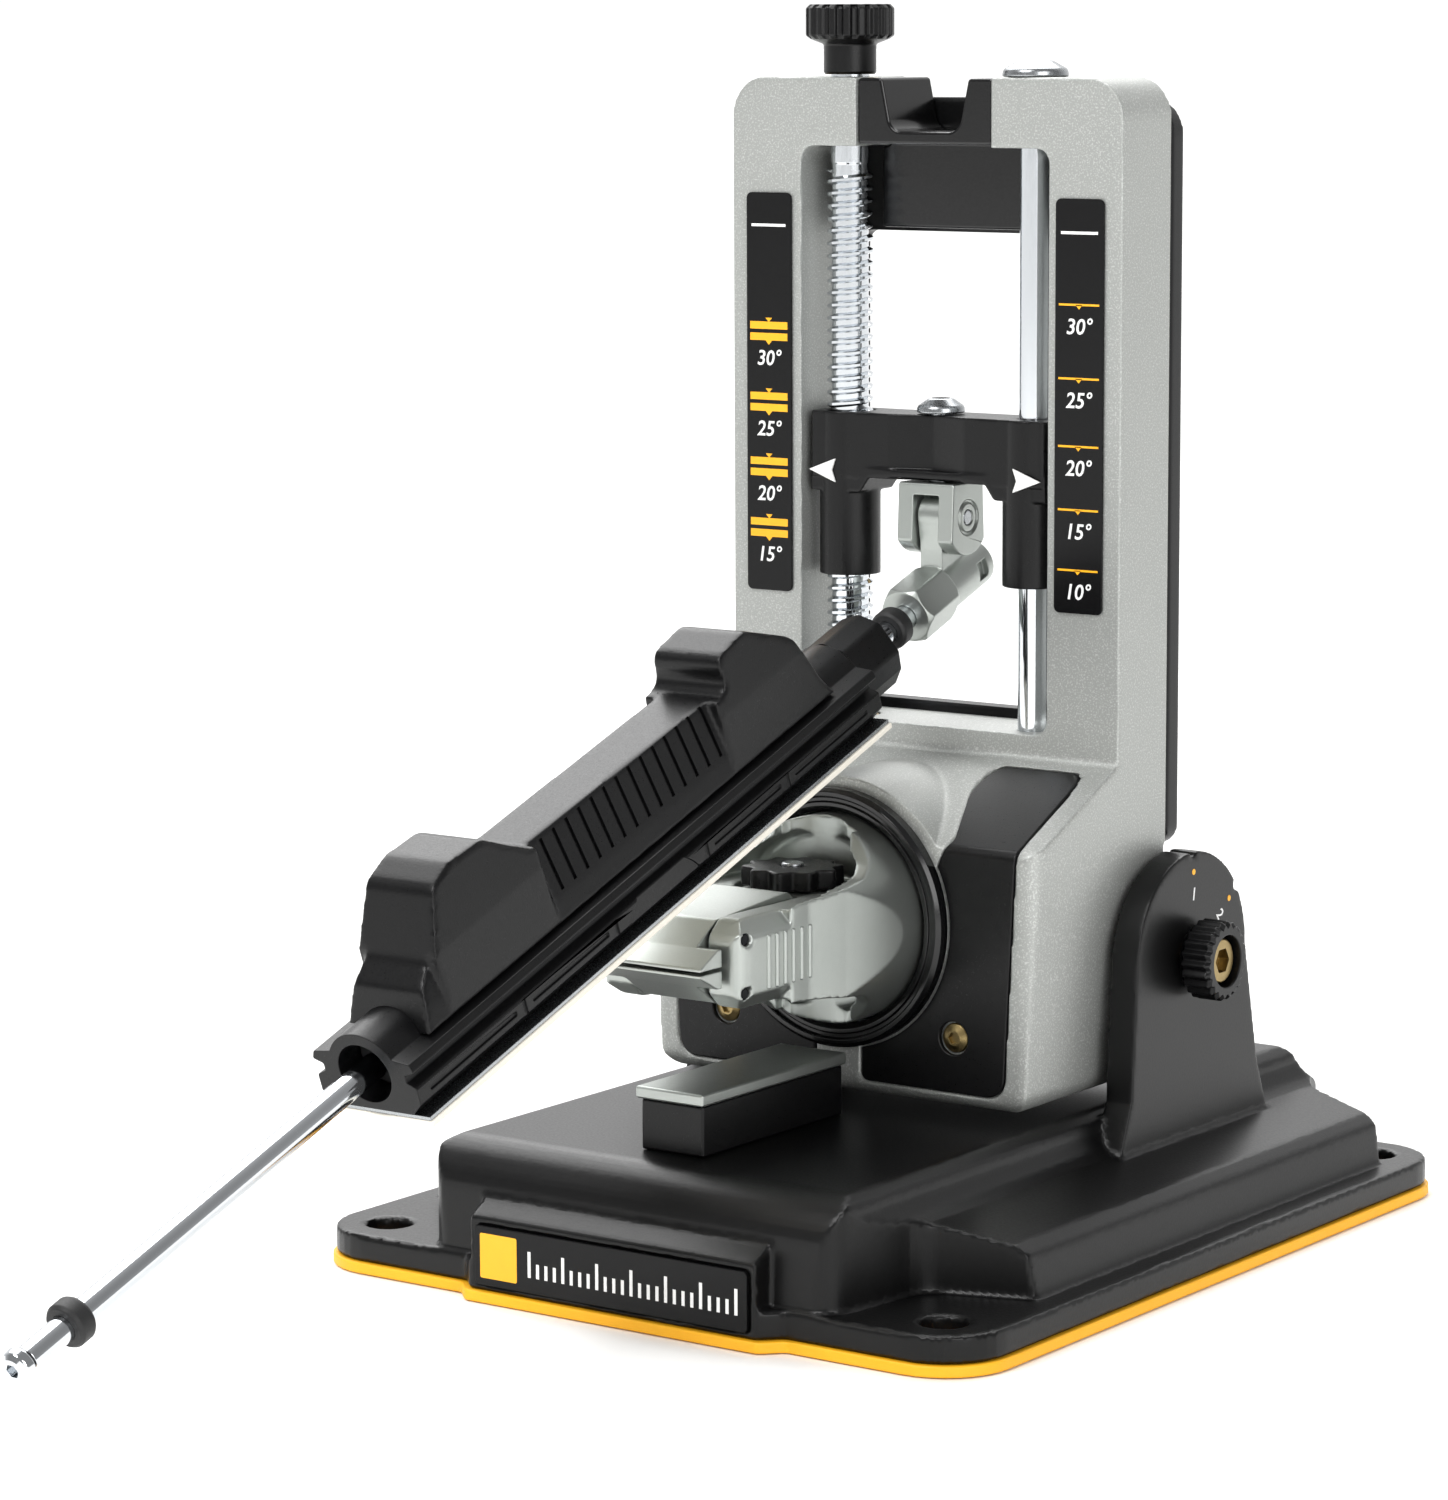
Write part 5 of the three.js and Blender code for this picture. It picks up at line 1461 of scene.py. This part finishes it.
    def plates(self) -> None:
        """The stone on its steel backing, the two magnets and the two bushes."""
        face = -self.drop - self.bottom
        half = self.plate_half
        near, far = self.rail + 0.3, self.rail_end - 0.3
        backing = box(-half + 0.4, half - 0.4, -far, -near, face - 0.8, face - 0.05)
        dress(self.placed(backing.soften(0.12, 2)), "stone_backing", ZINC_STEEL, "holder", ["backing_plate"])
        stone = box(-half, half, -self.rail_end, -self.rail, -self.drop - self.plate_end, face - 0.85)
        dress(self.placed(stone.soften(0.25, 3)), "stone", CERAMIC, "holder", ["ceramic_plate"])
        for node, at in (("magnet_rear", 85), ("magnet_front", 160)):
            low, high = face + 0.05, face + 2.8
            magnet = turned(Axis.Z, [(0, low), (5, low, 0.2), (5, high, 0.2), (0, high)], (0, -at, 0))
            dress(self.placed(magnet), node + "_disc", ZINC_STEEL, "holder", [node])
        for node, near, far in (("rod_bush_rear", self.start + 1, self.start + 16.5),
                                ("rod_bush_front", self.rail_end - 19.5, self.rail_end - 6)):
            bush = self.bar([(2.52, near), (5.6, near, 0.3), (5.6, far, 0.3), (2.52, far)])
            dress(self.placed(bush), node + "_sleeve", NITRILE, "slider", [node])

    def build(self) -> None:
        """Makes every piece of the rod and the holder."""
        self.clevis()
        self.knuckle()
        self.rod()
        self.holder_body()
        self.grip()
        self.plates()


# ------------------------------------------------------------------ clamp

@dataclass
class Clamp:
    """The rotating clamp: drum with two arms, jaws, pins, wheel and screw."""

    z0: float = 66.5
    drum: float = 20.8
    journal: float = 14.0
    journal_back: float = 11.8
    half: float = 16.5
    inner: float = 8.8
    front: float = -76.5
    height: float = 8.5
    pin_y: float = -74.0
    pin_z: float = 5.1
    jaw_half: float = 8.4
    tip_half: float = 13.4
    tip: float = -85.0
    wheel_y: float = -36.0
    wheel_low: float = 8.5
    wheel_high: float = 12.4
    wheel: float = 10.0

    def z(self, value: float) -> float:
        """A height above the clamp's axis."""
        return self.z0 + value

    def body(self) -> None:
        """The cast body, with six grip ribs on the outside of each arm."""
        at = (0, 0, self.z0)
        z = self.z
        upper = [
            (-4.3, 21), (-26, 21, 1), (-29, 18.6, 3), (-32.5, 13.6, 5), (-37, 11.4, 6), (-50, 9.9, 10),
            (-73, self.height, 3), (self.front, 5.4, 2.5),
        ]
        under = [(y, -v, *r) for y, v, *r in reversed(upper)]
        side = prism(Axis.X, [(y, z(v), *r) for y, v, *r in upper + under], -22, 22)
        right = [(21, -4.3), (21, -27, 4), (18, -44, 12), (self.half, -54, 10), (self.half, self.front, 3)]
        plan = prism(Axis.Z, right + mirrored(right), 30, 110)
        round_part = cylinder(Axis.Y, self.drum, -60, -4.3, at, 128)
        arm = prism(Axis.Y, [
            (-16.5, z(-5.5), 1.5), (-13.5, z(-8.6), 1.5), (13.5, z(-8.6), 1.5), (16.5, z(-5.5), 1.5),
            (16.5, z(5.5), 1.5), (13.5, z(8.6), 1.5), (-13.5, z(8.6), 1.5), (-16.5, z(5.5), 1.5),
        ], -80, -56)
        shell = side.meet(plan).meet(round_part.add(arm))
        journal = cylinder(Axis.Y, self.journal, -5, self.journal_back, at)
        cuts = []
        for low, high in ((8.6, 40), (-40, -8.6)):
            hollow = self.drum - 2.4
            dish = turned(Axis.Y, [(0, -80), (hollow, -80), (hollow, -25, 2), (0, -25)], at, 96)
            cuts.append(dish.meet(box(-30, 30, -90, 0, z(low), z(high))))
        cuts.append(box(-self.inner, self.inner, -90, -27, 20, 120))
        cuts.append(cylinder(Axis.Y, 3.1, 1, 20, at))
        for low, high in ((6.6, 30), (-30, -6.6)):
            cuts.append(cylinder(Axis.Z, self.wheel + 1.2, z(low), z(high), (0, self.wheel_y, 0)))
        for sense in (1, -1):
            cuts.append(cylinder(Axis.X, 1.25, -30, 30, (0, self.pin_y, z(sense * self.pin_z))))
        whole = shell.add(journal).cut(*cuts).melt(0.3, 6, 0.4)
        dress(whole, "clamp_casting", SATIN_NICKEL, "clamp", ["clamp_body"], angle=60)
        self.ribs()

    def ribs(self) -> None:
        """Six slim ribs on each arm, where fingers turn the clamp."""
        for side, sense in (("right", 1), ("left", -1)):
            ribs = []
            for k in range(6):
                y = -67.5 + 2.7 * k
                rib = turned(Axis.Z, [(0, self.z(-5.2)), (0.55, self.z(-5.2), 0.4), (0.55, self.z(5.2), 0.4),
                                      (0, self.z(5.2))], (sense * (self.half - 0.1), y, 0), 24)
                ribs.append(rib)
            dress(ribs[0].add(*ribs[1:]), "arm_ribs_" + side, SATIN_NICKEL, "clamp")

    def jaw(self, name: str, sense: int) -> None:
        """One jaw with its wide lip and slotted tail.

        Args:
            name: "upper" or "lower".
            sense: 1 for the upper jaw, -1 for the lower.
        """
        def z(value: float) -> float:
            """A height on the jaw's own side of the axis."""
            return self.z0 + sense * value

        lip = prism(Axis.X, [
            (self.tip, z(0.35)), (self.tip, z(0.9), 0.3), (-79.6, z(3.7), 1), (-78.2, z(3.7)),
            (-78.2, z(0.35)),
        ], -self.tip_half, self.tip_half)
        lever = prism(Axis.X, [
            (-79.6, z(0.35)), (-79.6, z(3.7)), (-73, z(8), 3), (-49.5, z(10), 3), (-47.2, z(8), 1),
            (-30.5, z(8), 1), (-30.5, z(5.8)), (-60, z(5.2), 3), (-66, z(1.7), 2), (-73.5, z(0.4)),
        ], -self.jaw_half, self.jaw_half)
        slot = box(-2.8, 2.8, self.wheel_y - 3.6, -28, self.z0 - 20, self.z0 + 20)
        pin = cylinder(Axis.X, 1.4, -20, 20, (0, self.pin_y, z(self.pin_z)))
        whole = lip.add(lever).cut(slot, pin).melt(0.16, 2)
        dress(whole, name + "_jaw_lever", SATIN_NICKEL, name + "_jaw", [name + "_jaw"], angle=60)

    def fittings(self) -> None:
        """Washer, screw, pins and the thumbwheel's screw."""
        at = (0, 0, self.z0)
        low, high = node_box("drum_washer")
        washer = turned(Axis.Y, [(3.2, low.y), (17, low.y, 0.3), (17, high.y, 0.3), (3.2, high.y)], at, 96)
        dress(washer, "rear_washer", ZINC_STEEL, "clamp", ["drum_washer"])
        screw = button_screw(Axis.Y, 3, 11, 6.4, 3.4, (0, self.journal_back + 2.3, self.z0))
        dress(screw, "rear_screw", ZINC_STEEL, "clamp", ["drum_screw"])
        for name, sense in (("upper", 1), ("lower", -1)):
            low, high = node_box("jaw_pin_" + name)
            pin = turned(Axis.X, [(0, low.x), (1.2, low.x, 0.25), (1.2, high.x, 0.25), (0, high.x)],
                         (0, self.pin_y, self.z(sense * self.pin_z)))
            dress(pin, name + "_pin", BLACK_OXIDE, "clamp", ["jaw_pin_" + name])
            self.jaw(name, sense)
        spindle = turned(Axis.Z, [
            (0, self.z(-12.6)), (3.6, self.z(-12.6), 0.4), (3.6, self.z(-9.4), 0.4), (2.2, self.z(-9.4)),
            (2.2, self.z(13), 0.4), (0, self.z(13)),
        ], (0, self.wheel_y, 0))
        dress(spindle, "wheel_screw", ZINC_STEEL, "thumbwheel", ["clamp_screw"])

    def thumbwheel(self) -> None:
        """The scalloped black wheel on top of the clamp."""
        lobes, r = 10, self.wheel
        outline = [((r - 0.9 + 0.9 * math.cos(lobes * a)) * math.cos(a),
                    self.wheel_y + (r - 0.9 + 0.9 * math.cos(lobes * a)) * math.sin(a))
                   for a in (2 * math.pi * k / 160 for k in range(160))]
        wheel = prism(Axis.Z, outline, self.z(self.wheel_low), self.z(self.wheel_high))
        wheel.cut(cylinder(Axis.Z, 2.3, 60, 90, (0, self.wheel_y, 0)))
        dress(wheel.soften(0.5, 3, 50), "clamp_wheel", NYLON, "thumbwheel", ["thumbwheel"])

    def build(self) -> None:
        """Makes every piece of the clamp."""
        self.body()
        self.fittings()
        self.thumbwheel()


def main() -> None:
    """Builds the studio and every sub-assembly in order."""
    logging.basicConfig(level=logging.INFO, format="%(name)s: %(message)s")
    Studio().build()
    for assembly in (Base(), Tower(), Scales(), HeightDrive(), GuideRod(), Clamp()):
        LOG.info("building %s", type(assembly).__name__)
        assembly.build()


if __name__ == "__main__":
    main()
